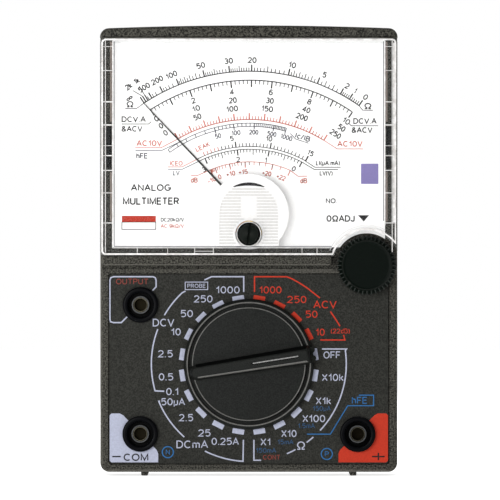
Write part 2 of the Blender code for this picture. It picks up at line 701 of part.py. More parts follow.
def range_knob():
    """Round skirt with a raised ring, a bevelled grip bar and a forked pointer tip."""
    origin = (0, 0, KNOB_Z)
    bm = bmesh.new()
    turned(bm, [(0, -12.2), (19.2, -11.9), (20.1, -12.3), (20.9, -12.0),
                (KNOB_RADIUS, -10.8), (KNOB_RADIUS, -9.3), (SHAFT_RADIUS, -9.3),
                (SHAFT_RADIUS, -4.2), (0, -4.2)], 48, 0, KNOB_Z)
    knob = place("range_knob", bm, BLACK, origin, 40)
    bm = bmesh.new()
    sections = [(-11.0, grip_outline(20.2, 21.2, 2.9, 3.4)), (-16.6, grip_outline(19.4, 20.6, 1.9, 2.4)),
                (-17.5, grip_outline(18.8, 20.0, 1.4, 1.8))]
    grip = stack(bm, [(y, [(a, KNOB_Z + b) for a, b in outline]) for y, outline in sections])
    spin_front(grip, KNOB_REST, 0, KNOB_Z)
    join(knob, "knob_grip", bm)
    bm = bmesh.new()
    nose = [(19.8, -2.6), (23.3, -2.1), (23.3, -0.8), (22.0, 0.0), (23.3, 0.8), (23.3, 2.1), (19.8, 2.6)]
    tip = extrude(bm, [(a, KNOB_Z + b) for a, b in nose], -13.2, -9.6)
    spin_front(tip, KNOB_REST, 0, KNOB_Z)
    join(knob, "knob_tip", bm)
    bm = bmesh.new()
    disc(bm, 0, KNOB_Z, 1.4, -9.0, -3.0, 16)
    cut(knob, "knob_screw_hole", bm)


def selector_rotor():
    """Rotor behind the panel with its contact, screw, ball and spring."""
    origin = (0, 0, KNOB_Z)
    bm = bmesh.new()
    tube(bm, 0, KNOB_Z, 13.0, SHAFT_RADIUS + GAP, -7.2, -5.0, 28)
    rotor = place("selector_rotor", bm, WHITE, origin, 35)
    bm = bmesh.new()
    block(bm, (-1.4, 1.4), (-8, -4), (KNOB_Z + 8.0, KNOB_Z + 14.0))
    cut(rotor, "ball_pocket", bm)

    bm = bmesh.new()
    low, high, tip = -4.7, -4.3, -2.3
    comb = [(low, -12.6), (low, -5.6), (high, -5.6)]
    for radius in (6.4, 9.0, 11.6):
        comb += [(high, -radius + 0.5), (tip, -radius + 0.3), (tip, -radius - 0.3), (high, -radius - 0.5)]
    comb += [(high, -12.6)]
    extrude(bm, [(y, KNOB_Z + z) for y, z in comb], -1.5, 1.5, "X")
    place("wiper_contact", bm, BRASS, origin)

    bm = bmesh.new()
    turned(bm, [(0, -8.0), (1.1, -8.0), (1.1, -3.9), (5.4, -3.9), (5.4, -3.4), (3.0, -3.4), (2.6, -2.3),
                (0, -2.3)], 24, 0, KNOB_Z)
    place("knob_screw", bm, STEEL, origin, 35)

    bm = bmesh.new()
    bmesh.ops.create_uvsphere(bm, u_segments=12, v_segments=8, radius=1.1)
    bmesh.ops.translate(bm, vec=(0, -6.1, KNOB_Z + 14.0), verts=bm.verts)
    place("detent_ball", bm, STEEL, origin, 35)

    bm = bmesh.new()
    turns, steps, radius = 5, 8, 0.8
    coil = []
    for i in range(turns * steps + 1):
        angle = 2 * math.pi * i / steps
        rise = 8.4 + 4.0 * i / (turns * steps)
        coil.append((radius * math.cos(angle), -6.1 + radius * math.sin(angle), KNOB_Z + rise))
    sweep(bm, coil, circle(0, 0, 0.16, 5))
    place("detent_spring", bm, STEEL, origin, 35)


# ---------------------------------------------------------------- zero-ohm control

def zero_ohm_control():
    """Knurled knob, its shaft, and the potentiometer behind the case front."""
    x, z = ADJUST_X, ADJUST_Z
    origin = (x, 0, z)

    def knurl(crest, valley):
        points = []
        for i in range(ADJUST_RIBS):
            base = 360 * i / ADJUST_RIBS
            for radius, turn_by in ((crest, 0), (valley, 4.5)):
                points.append(polar(x, z, radius, base + turn_by))
        return points

    bm = bmesh.new()
    stack(bm, [(-15.5, knurl(8.0, 8.0)), (-15.2, knurl(8.6, 8.5)), (-14.4, knurl(ADJUST_RADIUS, 9.4)),
               (-9.8, knurl(ADJUST_RADIUS, 9.4))])
    knob = place("ohm_adjust_knob", bm, BLACK, origin, 35)
    bm = bmesh.new()
    disc(bm, x, z, 3.3, -13.5, -9.0, 24)
    cut(knob, "adjust_bore", bm)

    bm = bmesh.new()
    disc(bm, x, z, 3.0, -13.2, -5.0, 24)
    place("potentiometer_shaft", bm, ALUMINIUM, origin, 35)

    bm = bmesh.new()
    turned(bm, [(0, -2.3), (7.5, -2.3), (7.5, -7.1), (3.3, -7.1), (3.3, -4.7), (0, -4.7)], 24, x, z)
    place("potentiometer_body", bm, STEEL, smooth=35)


# ---------------------------------------------------------------- sockets

def sockets():
    """Three shrouded test-lead sockets: an insulating collar and a brass tube in each."""
    for name, x, z in SOCKETS:
        bm = bmesh.new()
        turned(bm, [(2.95, -9.6), (2.65, -9.4), (2.65, -2.3), (BARREL_RADIUS, -2.3), (BARREL_RADIUS, -9.3),
                    (COLLAR_RADIUS, -9.3), (COLLAR_RADIUS, -10.6), (5.6, -11.0), (4.7, -11.0),
                    (4.2, -10.4), (4.2, -5.0), (2.95, -5.0)], 20, x, z, closed=True)
        place("jack_collar_" + name, bm, BLACK, smooth=35)
        bm = bmesh.new()
        turned(bm, [(0, -3.2), (2.05, -3.2), (2.05, -9.0), (2.35, -9.0), (2.35, -2.3), (1.0, -2.3),
                    (1.0, 1.4), (0, 1.4)], 16, x, z)
        place("jack_socket_" + name, bm, BRASS, smooth=35)


# ---------------------------------------------------------------- board

def circuit_board():
    """Single board behind the switch, with an ear for the zero-ohm potentiometer."""
    bm = bmesh.new()
    outline = [(-45.0, 5.0), (45.0, 5.0), (45.0, 80.5), (27.0, 80.5), (27.0, 73.0), (-45.0, 73.0)]
    extrude(bm, outline, BOARD_FRONT, BOARD_BACK)
    board = place("circuit_board", bm, BOARD)
    bm = bmesh.new()
    disc(bm, 0, KNOB_Z, 3.6, BOARD_FRONT - 1, BOARD_BACK + 1, 24)
    disc(bm, 0, CASE_SCREW_Z["lower"], 1.6, BOARD_FRONT - 1, BOARD_BACK + 1, 16)
    disc(bm, *BOARD_SCREW, 1.3, BOARD_FRONT - 1, BOARD_BACK + 1, 16)
    for _, x, z in SOCKETS:
        disc(bm, x, z, 1.3, BOARD_FRONT - 1, BOARD_BACK + 1, 16)
    cut(board, "board_holes", bm)

    bm = bmesh.new()
    turned(bm, [(0, -6.0), (1.0, -6.0), (1.0, -0.1), (2.2, -0.1), (2.2, 0.9), (1.7, 1.3), (0, 1.3)], 18,
           *BOARD_SCREW)
    place("board_screw", bm, STEEL, (BOARD_SCREW[0], 0, BOARD_SCREW[1]), 35)


def barrel(bm, x, y, z, radius, half_length, cap=0.0, cap_length=0.0, count=20):
    """Component body lying along X, with wider end caps if cap is given."""
    profile = [(0, -half_length), (radius, -half_length), (radius, half_length), (0, half_length)]
    if cap:
        inner = half_length - cap_length
        profile = [(0, -half_length), (cap, -half_length), (cap, -inner), (radius, -inner), (radius, inner),
                   (cap, inner), (cap, half_length), (0, half_length)]
    verts = turned(bm, profile, count)
    turn(verts, "Z", 90)
    for vert in verts:
        vert.co += Vector((x, y, z))
    return verts


def add_pins(piece, name, y, pins, radius=0.35):
    """Wire legs from the component at y down to just above the board."""
    bm = bmesh.new()
    for x, z in pins:
        disc(bm, x, z, radius, BOARD_BACK + GAP, y, 8)
    join(piece, name, bm)


def board_parts():
    """Components soldered to the back of the board."""
    lying = (("resistor_upper", 12.0, 2.1, 62.0, 1.2, 3.2, 1.4, 1.0, CERAMIC),
             ("resistor_lower", 24.0, 2.1, 36.0, 1.2, 3.2, 1.4, 1.0, CERAMIC),
             ("rectifier_diode", 12.0, 2.0, 56.0, 1.1, 2.4, 0.0, 0.0, BLACK),
             ("shunt_resistor", -24.0, 3.0, 24.0, 2.3, 7.0, 2.6, 1.4, CERAMIC))
    for name, x, y, z, radius, half, cap, cap_length, look in lying:
        bm = bmesh.new()
        barrel(bm, x, y, z, radius, half, cap, cap_length, 12)
        piece = place(name, bm, look, smooth=35)
        reach = half - max(cap_length, 0.8) / 2
        add_pins(piece, name + "_pins", y, [(x - reach, z), (x + reach, z)])

    bm = bmesh.new()
    block(bm, (-36.5, -23.5), (BOARD_BACK + GAP, 6.6), (42.0, 52.0))
    place("output_capacitor", bm, RED)


def fuse():
    """Glass fuse held across two spring clips on the back of the board."""
    x, y, z = -22.0, 3.4, 64.0
    bm = bmesh.new()
    barrel(bm, x, y, z, 2.3, 10.0, 2.6, 5.2, 16)
    place("fuse", bm, STEEL, smooth=35)
    for side, name in ((-1, "left"), (1, "right")):
        inner = arc(y, z, 2.9, 60, 300, 12)
        outer = arc(y, z, 3.4, 300, 60, 12)
        bm = bmesh.new()
        middle = x + side * 7.4
        extrude(bm, inner + outer, middle - 2.0, middle + 2.0, "X")
        place("fuse_clip_" + name, bm, BRASS)


# ---------------------------------------------------------------- cells

def cells():
    """Two round cells and one block battery in the upper half, with their contacts."""
    for name, x in CELL_X.items():
        profile = [(0, CELL_BOTTOM), (CELL_RADIUS - 0.5, CELL_BOTTOM), (CELL_RADIUS, CELL_BOTTOM + 0.5),
                   (CELL_RADIUS, CELL_TOP - 0.5), (CELL_RADIUS - 0.5, CELL_TOP), (2.6, CELL_TOP),
                   (2.6, CELL_TOP + 1.1), (0, CELL_TOP + 1.1)]
        if name == "right":
            profile = [(radius, CELL_BOTTOM + CELL_TOP - y) for radius, y in reversed(profile)]
        bm = bmesh.new()
        turned(bm, profile, 20)
        turn(bm.verts, "X", 90)
        for vert in bm.verts:
            vert.co = (vert.co.x + x, vert.co.y + CELL_Y, vert.co.z)
        place("aa_cell_" + name, bm, RED, smooth=35)

    bm = bmesh.new()
    block(bm, (-44.5, -17.5), (-4.0, 6.0), (CELL_TOP + 1.5, CELL_TOP + 1.9))
    place("cell_link_plate", bm, BRASS)

    bm = bmesh.new()
    turns, steps = 3, 12
    coil = []
    for i in range(turns * steps + 1):
        angle = 2 * math.pi * i / steps
        radius = 4.4 - 2.2 * i / (turns * steps)
        rise = SHELF_TOP + 0.65 + 4.2 * i / (turns * steps)
        coil.append((CELL_X["left"] + radius * math.cos(angle), CELL_Y + radius * math.sin(angle), rise))
    sweep(bm, coil, circle(0, 0, 0.3, 5))
    place("cell_spring", bm, STEEL, smooth=35)

    bm = bmesh.new()
    x = CELL_X["right"]
    strip = [(-5.0, SHELF_TOP + GAP), (5.0, SHELF_TOP + GAP), (5.0, SHELF_TOP + 0.7), (3.4, SHELF_TOP + 0.7),
             (1.6, CELL_BOTTOM - 1.9), (0.4, CELL_BOTTOM - 1.9), (-1.6, SHELF_TOP + 0.7),
             (-5.0, SHELF_TOP + 0.7)]
    extrude(bm, [(CELL_Y + a, b) for a, b in strip], x - 3.0, x + 3.0, "X")
    place("cell_contact_plate", bm, BRASS)


def block_battery():
    """Block battery, terminals down, with its snap connector."""
    bm = bmesh.new()
    extrude(bm, rounded(BLOCK_LEFT, BLOCK_RIGHT, -6.9, 10.6, 1.6), 94.5, 142.9, "Z")
    battery = place("battery_9v", bm, BLACK)
    middle = (BLOCK_LEFT + BLOCK_RIGHT) / 2
    y = 1.85
    bm = bmesh.new()
    extrude(bm, circle(middle - 6.35, y, 2.8, 20), 92.6, 95.0, "Z")
    extrude(bm, circle(middle + 6.35, y, 3.8, 20), 92.6, 95.0, "Z")
    join(battery, "battery_studs", bm)
    bm = bmesh.new()
    extrude(bm, rounded(middle - 12.5, middle + 12.5, y - 6.0, y + 6.0, 2.0), 89.2, 94.1, "Z")
    snap = place("snap_connector", bm, BLACK)
    bm = bmesh.new()
    extrude(bm, circle(middle - 6.35, y, 3.1, 20), 92.2, 96.0, "Z")
    extrude(bm, circle(middle + 6.35, y, 4.1, 20), 92.2, 96.0, "Z")
    cut(snap, "snap_sockets", bm)


def lead(name, route, radius, look):
    """Sleeved pair of wires on a smooth curve through the points of its route."""
    curve = bpy.data.curves.new(name, "CURVE")
    curve.dimensions = "3D"
    curve.bevel_depth = radius * MM
    curve.bevel_resolution = 2
    curve.use_fill_caps = True
    points = smooth_path(route, 6)
    spline = curve.splines.new("POLY")
    spline.points.add(len(points) - 1)
    for target, point in zip(spline.points, points):
        target.co = (*(Vector(point) * MM), 1.0)
    curve.materials.append(finish(name, *look))
    piece = bpy.data.objects.new(name, curve)
    bpy.context.scene.collection.objects.link(piece)


def smooth_path(route, steps):
    """Catmull-Rom points through the route, steps to each span."""
    knots = [Vector(p) for p in route]
    knots = [2 * knots[0] - knots[1]] + knots + [2 * knots[-1] - knots[-2]]
    points = []
    for a, b, c, d in zip(knots, knots[1:], knots[2:], knots[3:]):
        for i in range(steps):
            t = i / steps
            points.append(0.5 * (2 * b + (c - a) * t + (2 * a - 5 * b + 4 * c - d) * t ** 2
                                 + (3 * b - a - 3 * c + d) * t ** 3))
    return points + [knots[-2]]


def leads():
    """Sleeved pairs from the movement, the round cells and the block battery to the board."""
    lead("movement_lead", [(-8, 6.7, 82), (-10, 8, 76), (-12, 5, 72), (-12, 0.9, 70)], 0.8, RED)
    lead("cell_lead", [(-38, 10.6, 90), (-38, 10.8, 82), (-37, 6, 74), (-36, 0.9, 69)], 0.8, RED)
    lead("snap_lead", [(29.6, 10.6, 91), (28, 10.8, 84), (23, 7, 76), (20, 0.9, 69)], 0.8, BLACK)


def main():
    for old in list(bpy.data.objects):
        bpy.data.objects.remove(old, do_unlink=True)
    front_case()
    rear_case()
    case_screws()
    panel_label()
    meter_window()
    scale_plate()
    movement_cover()
    movement()
    jewel_screws()
    hairsprings()
    moving_coil()
    zero_lever()
    zero_adjust_screw()
    range_knob()
    selector_rotor()
    zero_ohm_control()
    sockets()
    circuit_board()
    board_parts()
    fuse()
    cells()
    block_battery()
    leads()


main()
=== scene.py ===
"""Finished look of the analog multimeter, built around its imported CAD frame.

Shapes are worked out in millimetres and stored in metres. Seen from the front (-Y),
+X is to the right, +Z is up, and angles run anticlockwise from +X. A lean runs clockwise
from upright.
"""
import json
import math

import bmesh
import bpy
from mathutils import Matrix, Vector


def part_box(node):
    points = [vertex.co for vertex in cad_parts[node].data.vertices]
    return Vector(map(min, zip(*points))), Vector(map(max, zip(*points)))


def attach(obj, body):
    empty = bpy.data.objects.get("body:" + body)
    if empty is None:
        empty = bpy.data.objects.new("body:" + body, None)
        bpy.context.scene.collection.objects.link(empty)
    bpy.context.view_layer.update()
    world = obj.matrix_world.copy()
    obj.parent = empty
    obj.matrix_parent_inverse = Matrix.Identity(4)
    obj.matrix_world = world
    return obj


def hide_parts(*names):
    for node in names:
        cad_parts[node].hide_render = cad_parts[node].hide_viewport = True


MM = 0.001
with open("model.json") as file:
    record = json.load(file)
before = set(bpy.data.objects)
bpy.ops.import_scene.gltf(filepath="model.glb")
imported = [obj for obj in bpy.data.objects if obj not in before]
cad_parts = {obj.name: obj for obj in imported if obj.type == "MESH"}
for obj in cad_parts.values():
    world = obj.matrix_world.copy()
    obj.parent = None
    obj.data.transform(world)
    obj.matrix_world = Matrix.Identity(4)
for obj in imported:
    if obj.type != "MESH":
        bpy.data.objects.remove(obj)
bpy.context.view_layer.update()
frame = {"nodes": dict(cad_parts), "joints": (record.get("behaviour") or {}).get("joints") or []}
nodes = frame["nodes"]
pivots = {joint["name"]: Vector(joint["pos_m"]) / MM for joint in frame["joints"]}


def span(node):
    """Lowest and highest corner of a CAD node in millimetres."""
    low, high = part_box(node)
    return low / MM, high / MM


def axis(joint):
    """Place of a joint's axis, as seen from the front."""
    return Vector((pivots[joint].x, 0, pivots[joint].z))


# ---------------------------------------------------------------- places from the frame

CASE_LOW, CASE_HIGH = span("front_case")
REAR_HIGH = span("rear_case")[1]
WINDOW_LOW, WINDOW_HIGH = span("meter_window")
LABEL_LOW, LABEL_HIGH = span("panel_label")
DIAL_LOW, DIAL_HIGH = span("scale_plate")
COVER_LOW = span("movement_cover")[0]
KNOB_HIGH = span("range_knob")[1]
ADJUST_LOW, ADJUST_HIGH = span("ohm_adjust_knob")
TRIM_LOW, TRIM_HIGH = span("zero_adjust_screw")
BOARD_LOW, BOARD_HIGH = span("circuit_board")
GAP = 0.3                    # clearance between neighbouring parts
SHELF_HIGH = span("cell_contact_plate")[0].z - GAP

HALF_WIDTH = CASE_HIGH.x
CROWN_RISE = 0.9             # how much higher the case is in its middle than at its sides
SIDE_TOP = CASE_HIGH.z - CROWN_RISE
FOOT_LENGTH = 1.3
FOOT_RADIUS = 1.15
FOOT_X, FOOT_FRONT, FOOT_REAR = 34.8, -5.5, 12.0
CORNER = 3.0
WALL = 2.0
LABEL_FRONT = LABEL_LOW.y
FACE = LABEL_FRONT - 0.5     # front of the case round the panel
RECESS_FLOOR = LABEL_HIGH.y + GAP
HOLE_END = -7.0              # holes through the front wall are cut back to here
BROW_FRONT = CASE_LOW.y
BROW_BOTTOM = WINDOW_HIGH.z + GAP
RIDGE_TOP = WINDOW_LOW.z - GAP
RIDGE_HEIGHT = 3.0
RIDGE_FRONT = BROW_FRONT + 0.8
RIDGE_LEFT, RIDGE_RIGHT = -48.8, 27.5
SPLIT = 2.0                  # parting line between the front and the rear case
LOWER_SCREW, UPPER_SCREW = 9.0, 138.0    # heights of the two case screws
LUG_LOW, LUG_HIGH = 103.0, 116.0         # the window's snap lugs run between these heights
MOVEMENT_BOSS_X, MOVEMENT_BOSS_Z = 16.5, 79.4
DIAL_FRONT = DIAL_LOW.y
JACK_MOUTH = span("jack_socket_output")[0].y
NEEDLE = axis("needle_swing")
KNOB = axis("selector_turn")
ADJUST = axis("ohm_adjust_turn")
TRIM = axis("zero_adjust_turn")
KNOB_REST = 9.0              # degrees that the knob points above level at rest
WINDOW_NOTCH = 11.3          # radii of the rounds cut out for the zero-ohm knob
DIAL_NOTCH = 10.7
COLLAR_HOLE = 5.2
JACKS = {}
for jack in ("output", "common", "positive"):
    jack_low, jack_high = span("jack_socket_" + jack)
    JACKS[jack] = (jack_low + jack_high) / 2


# ---------------------------------------------------------------- outlines

def arc(x, z, radius, start, end, steps):
    """Points on an arc from start to end degrees, both ends included."""
    angles = [math.radians(start + (end - start) * i / steps) for i in range(steps + 1)]
    return [(x + radius * math.cos(a), z + radius * math.sin(a)) for a in angles]


def circle(x, z, radius, count=64):
    return arc(x, z, radius, 0, 360, count)[:-1]


def polar(centre, radius, angle):
    a = math.radians(angle)
    return (centre.x + radius * math.cos(a), centre.z + radius * math.sin(a))


def rounded(left, right, bottom, top, radius, steps=6):
    """Rectangle with rounded corners, anticlockwise."""
    return (arc(right - radius, bottom + radius, radius, -90, 0, steps)
            + arc(right - radius, top - radius, radius, 0, 90, steps)
            + arc(left + radius, top - radius, radius, 90, 180, steps)
            + arc(left + radius, bottom + radius, radius, 180, 270, steps))


def case_outline(inset=0.0, floor=None):
    """Case outline with its sides moved in by inset, or cut off level at floor."""
    half = HALF_WIDTH - inset
    shoulder = SIDE_TOP - inset
    radius = max(CORNER - inset, 0.4)
    run = half - radius
    shares = [1 - i / 12 for i in range(1, 24)]
    crown = [(run * share, shoulder + CROWN_RISE * (1 - share ** 2)) for share in shares]
    top = (arc(run, shoulder - radius, radius, 0, 90, 8) + crown
           + arc(-run, shoulder - radius, radius, 90, 180, 8))
    if floor is not None:
        return [(-half, floor), (half, floor)] + top
    low = FOOT_LENGTH + inset + radius
    return arc(run, low, radius, -90, 0, 8) + top + arc(-run, low, radius, 180, 270, 8)


def notched(half, bottom, top, notch, corner, steps=28):
    """Window-shaped outline whose lower right corner makes room for the zero-ohm knob."""
    foot = ADJUST.x - math.sqrt(notch ** 2 - (bottom - ADJUST.z) ** 2)
    side = ADJUST.z + math.sqrt(notch ** 2 - (half - ADJUST.x) ** 2)
    start = math.degrees(math.atan2(bottom - ADJUST.z, foot - ADJUST.x))
    end = math.degrees(math.atan2(side - ADJUST.z, half - ADJUST.x))
    return (arc(ADJUST.x, ADJUST.z, notch, start, end, steps)
            + arc(half - corner, top - corner, corner, 0, 90, 6)
            + arc(-half + corner, top - corner, corner, 90, 180, 6)
            + arc(-half + corner, bottom + corner, corner, 180, 270, 6))


def rolled(front, radius, outline, steps=5):
    """Sections of a front edge rounded to radius, from the face back to the full outline."""
    sections = []
    for i in range(steps + 1):
        a = math.radians(90 * i / steps)
        sections.append((front + radius * (1 - math.sin(a)), outline(radius * (1 - math.cos(a)))))
    return sections[::-1]


# ---------------------------------------------------------------- mesh makers

def join(bm, rings, ends=True):
    """Faces between neighbouring rings of equal length, and over the two end rings if wanted."""
    for near, far in zip(rings, rings[1:]):
        for i in range(len(near)):
            j = (i + 1) % len(near)
            bm.faces.new((near[i], near[j], far[j], far[i]))
    if ends:
        bm.faces.new(rings[0])
        bm.faces.new(rings[-1])


def join_strips(bm, sections):
    """Closed strip through sections of four vertices: two at the front, then the two behind them."""
    join(bm, [(a, b, d, c) for a, b, c, d in sections])


def outline_ring(bm, y, outline):
    return [bm.verts.new((x, y, z)) for x, z in outline]


def stack(bm, sections):
    """Closed solid through outlines of equal length, each given as (y, outline)."""
    rings = [outline_ring(bm, y, outline) for y, outline in sections]
    join(bm, rings)
    return [vert for ring in rings for vert in ring]


def extrude(bm, outline, low, high, axis="Y"):
    """Straight prism. The outline is (x, z) for axis Y, (x, y) for Z and (y, z) for X."""
    verts = stack(bm, [(low, outline), (high, outline)])
    for vert in verts:
        first, depth, second = vert.co
        if axis == "Z":
            vert.co = (first, second, depth)
        if axis == "X":
            vert.co = (depth, first, second)
    return verts


def block(bm, x, y, z):
    """Box between the pairs x, y and z."""
    return stack(bm, [(d, [(x[0], z[0]), (x[1], z[0]), (x[1], z[1]), (x[0], z[1])]) for d in y])


def disc(bm, x, z, radius, low, high, count=48):
    """Plain cylinder with its axis along Y."""
    return extrude(bm, circle(x, z, radius, count), low, high)


def turned(bm, profile, count=64, x=0.0, z=0.0, closed=False):
    """Solid of revolution about an axis along Y, from (radius, y) pairs."""
    rings = []
    for radius, y in profile:
        around = [(x, z)] if radius == 0 else circle(x, z, radius, count)
        rings.append(outline_ring(bm, y, around))
    pairs = list(zip(rings, rings[1:]))
    if closed:
        pairs.append((rings[-1], rings[0]))
    for near, far in pairs:
        for i in range(count):
            j = (i + 1) % count
            corners = (near[i % len(near)], near[j % len(near)], far[j % len(far)], far[i % len(far)])
            bm.faces.new(list(dict.fromkeys(corners)))
    return [vert for ring in rings for vert in ring]


def spin_front(verts, angle, centre):
    """Rotate anticlockwise, seen from the front, about the axis through centre."""
    rotation = Matrix.Rotation(math.radians(-angle), 3, "Y")
    middle = Vector((centre.x, 0, centre.z))
    for vert in verts:
        vert.co = middle + rotation @ (vert.co - middle)


# ---------------------------------------------------------------- objects

def to_object(name, bm):
    """Store a millimetre mesh as an object in metres."""
    bmesh.ops.recalc_face_normals(bm, faces=bm.faces)
    bmesh.ops.scale(bm, vec=(MM, MM, MM), verts=bm.verts)
    mesh = bpy.data.meshes.new(name)
    bm.to_mesh(mesh)
    bm.free()
    piece = bpy.data.objects.new(name, mesh)
    bpy.context.scene.collection.objects.link(piece)
    return piece


def carve(piece, bm, operation="DIFFERENCE"):
    """Cut the tool mesh out of the piece, or join it on, and keep only the result."""
    tool = to_object("tool", bm)
    change = piece.modifiers.new("carve", "BOOLEAN")
    change.operation = operation
    change.solver = "EXACT"
    change.object = tool
    bpy.context.view_layer.update()
    result = bpy.data.meshes.new_from_object(piece.evaluated_get(bpy.context.evaluated_depsgraph_get()))
    piece.modifiers.remove(change)
    old = piece.data
    result.name = piece.name
    piece.data = result
    bpy.data.meshes.remove(old)
    bpy.data.objects.remove(tool, do_unlink=True)


def dress(piece, material, body, stands_for=(), smooth=30, bevel=0.0):
    """Give a piece its material, shading, body and the CAD nodes it stands for."""
    piece.data.materials.clear()
    piece.data.materials.append(MATERIALS[material])
    if bevel:
        edge = piece.modifiers.new("soft_edges", "BEVEL")
        edge.width = bevel * MM
        edge.segments = 2
        edge.limit_method = "ANGLE"
        edge.angle_limit = math.radians(40)
        edge.use_clamp_overlap = True
    piece.data.shade_smooth()
    piece.data.set_sharp_from_angle(angle=math.radians(smooth))
    weighted = piece.modifiers.new("even_shading", "WEIGHTED_NORMAL")
    weighted.keep_sharp = True
    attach(piece, body)
    if stands_for:
        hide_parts(*stands_for)
    return piece


# ---------------------------------------------------------------- materials

class Look:
    """Principled material with helpers for procedural colour, roughness and relief."""

    def __init__(self, name, colour, roughness, metallic=0.0, **sockets):
        self.material = bpy.data.materials.new(name)
        self.material.use_nodes = True
        self.tree = self.material.node_tree
        self.shader = self.tree.nodes["Principled BSDF"]
        self.set("Base Color", (*colour, 1.0))
        self.set("Roughness", roughness)
        self.set("Metallic", metallic)
        for socket, value in sockets.items():
            self.set(socket.replace("_", " "), value)
        self.relief = None

    def set(self, socket, value):
        self.shader.inputs[socket].default_value = value

    def node(self, kind, **settings):
        """New node with some of its inputs or properties filled in."""
        node = self.tree.nodes.new(kind)
        for key, value in settings.items():
            if key in node.inputs:
                node.inputs[key].default_value = value
            else:
                setattr(node, key, value)
        return node

    def link(self, source, target):
        self.tree.links.new(source, target)

    def feed(self, source, socket):
        self.link(source, self.shader.inputs[socket])

    def place(self):
        """Object coordinates, which are metres in the shared frame."""
        return self.node("ShaderNodeTexCoord").outputs["Object"]

    def noise(self, scale, detail=2.0, roughness=0.5, stretch=None):
        """Noise from 0 to 1 of the given features in a metre, drawn out along an axis if asked."""
        texture = self.node("ShaderNodeTexNoise", Scale=scale, Detail=detail, Roughness=roughness)
        where = self.place()
        if stretch:
            mapping = self.node("ShaderNodeMapping", Scale=stretch)
            self.link(where, mapping.inputs["Vector"])
            where = mapping.outputs["Vector"]
        self.link(where, texture.inputs["Vector"])
        return texture.outputs["Fac"]

    def ramp(self, source, stops):
        """Colour looked up between stops, each a position and a colour."""
        ramp = self.node("ShaderNodeValToRGB")
        ramp.color_ramp.elements[0].position = stops[0][0]
        ramp.color_ramp.elements[0].color = (*stops[0][1], 1)
        ramp.color_ramp.elements[1].position = stops[-1][0]
        ramp.color_ramp.elements[1].color = (*stops[-1][1], 1)
        for position, colour in stops[1:-1]:
            ramp.color_ramp.elements.new(position).color = (*colour, 1)
        self.link(source, ramp.inputs["Fac"])
        return ramp.outputs["Color"]

    def mix(self, factor, first, second, blend="MIX"):
        """Blend two colours by a factor. Each of the three is a value or a socket to link."""
        node = self.node("ShaderNodeMix", data_type="RGBA", blend_type=blend)
        sockets = [s for s in node.inputs if s.type == "VALUE" and s.name == "Factor"][:1]
        sockets += [s for s in node.inputs if s.type == "RGBA"]
        for socket, value in zip(sockets, (factor, first, second)):
            if isinstance(value, tuple):
                socket.default_value = (*value, 1)
            elif isinstance(value, float):
                socket.default_value = value
            else:
                self.link(value, socket)
        return [s for s in node.outputs if s.type == "RGBA"][0]

    def spread(self, source, low, high, start=0.0, end=1.0):
        """Map the range start to end of a value onto the range low to high."""
        node = self.node("ShaderNodeMapRange")
        for socket, value in (("From Min", start), ("From Max", end), ("To Min", low), ("To Max", high)):
            node.inputs[socket].default_value = value
        self.link(source, node.inputs["Value"])
        return node.outputs["Result"]

    def bump(self, height, distance, strength=1.0):
        """Relief of the given depth in metres, on top of any relief already there."""
        node = self.node("ShaderNodeBump", Distance=distance, Strength=strength)
        self.link(height, node.inputs["Height"])
        if self.relief is not None:
            self.link(self.relief, node.inputs["Normal"])
        self.relief = node.outputs["Normal"]
        self.feed(self.relief, "Normal")

    def wear(self, colour, amount=0.5, start=0.52, end=0.6):
        """Rub the exposed edges towards a lighter colour."""
        edge = self.node("ShaderNodeNewGeometry").outputs["Pointiness"]
        mask = self.spread(edge, 0.0, amount, start, end)
        current = self.shader.inputs["Base Color"]
        self.link(self.mix(mask, current.links[0].from_socket, colour), current)


def scaled(colour, factor):
    return tuple(min(c * factor, 1.0) for c in colour)


def grained(name, colour, roughness, grain, contrast, relief, shine=0.5):
    """Moulded plastic with a speckled, spark-eroded grain. Grain and relief are in millimetres."""
    look = Look(name, colour, roughness, Specular_IOR_Level=shine)
    speck = look.noise(1 / (grain * MM), 2.0, 0.6)
    tone = look.ramp(speck, [(0.38, scaled(colour, 1 - contrast)), (0.5, colour),
                             (0.62, scaled(colour, 1 + contrast * 1.3))])
    broad = look.noise(45.0, 2.0)
    shade = look.ramp(broad, [(0.3, (0.93, 0.93, 0.93)), (0.7, (1.0, 1.0, 1.0))])
    look.feed(look.mix(1.0, tone, shade, "MULTIPLY"), "Base Color")
    look.feed(look.spread(speck, roughness - 0.08, roughness + 0.1), "Roughness")
    look.bump(speck, relief * MM, 0.9)
    return look


def metal(name, colour, roughness, stretch=None):
    """Bare metal with fine brushing or turning marks."""
    look = Look(name, colour, roughness, 1.0)
    marks = look.noise(900.0, 3.0, 0.6, stretch)
    look.feed(look.spread(marks, roughness * 0.7, roughness * 1.4), "Roughness")
    look.feed(look.ramp(marks, [(0.3, scaled(colour, 0.82)), (0.7, scaled(colour, 1.08))]), "Base Color")
    look.bump(marks, 0.00002, 0.6)
    return look.material


def printed(name, colour, roughness=0.5):
    """Screen-printed ink: slightly uneven cover and a faint relief."""
    look = Look(name, colour, roughness, Specular_IOR_Level=0.1)
    cover = look.noise(1800.0, 2.0)
    look.feed(look.ramp(cover, [(0.3, scaled(colour, 0.9)), (0.7, scaled(colour, 1.05))]), "Base Color")
    look.bump(cover, 0.000004, 0.4)
    return look.material


TARNISH_AND_SHADE_DEPTH = 3.0          # depth at which the sockets' brass is at its darkest


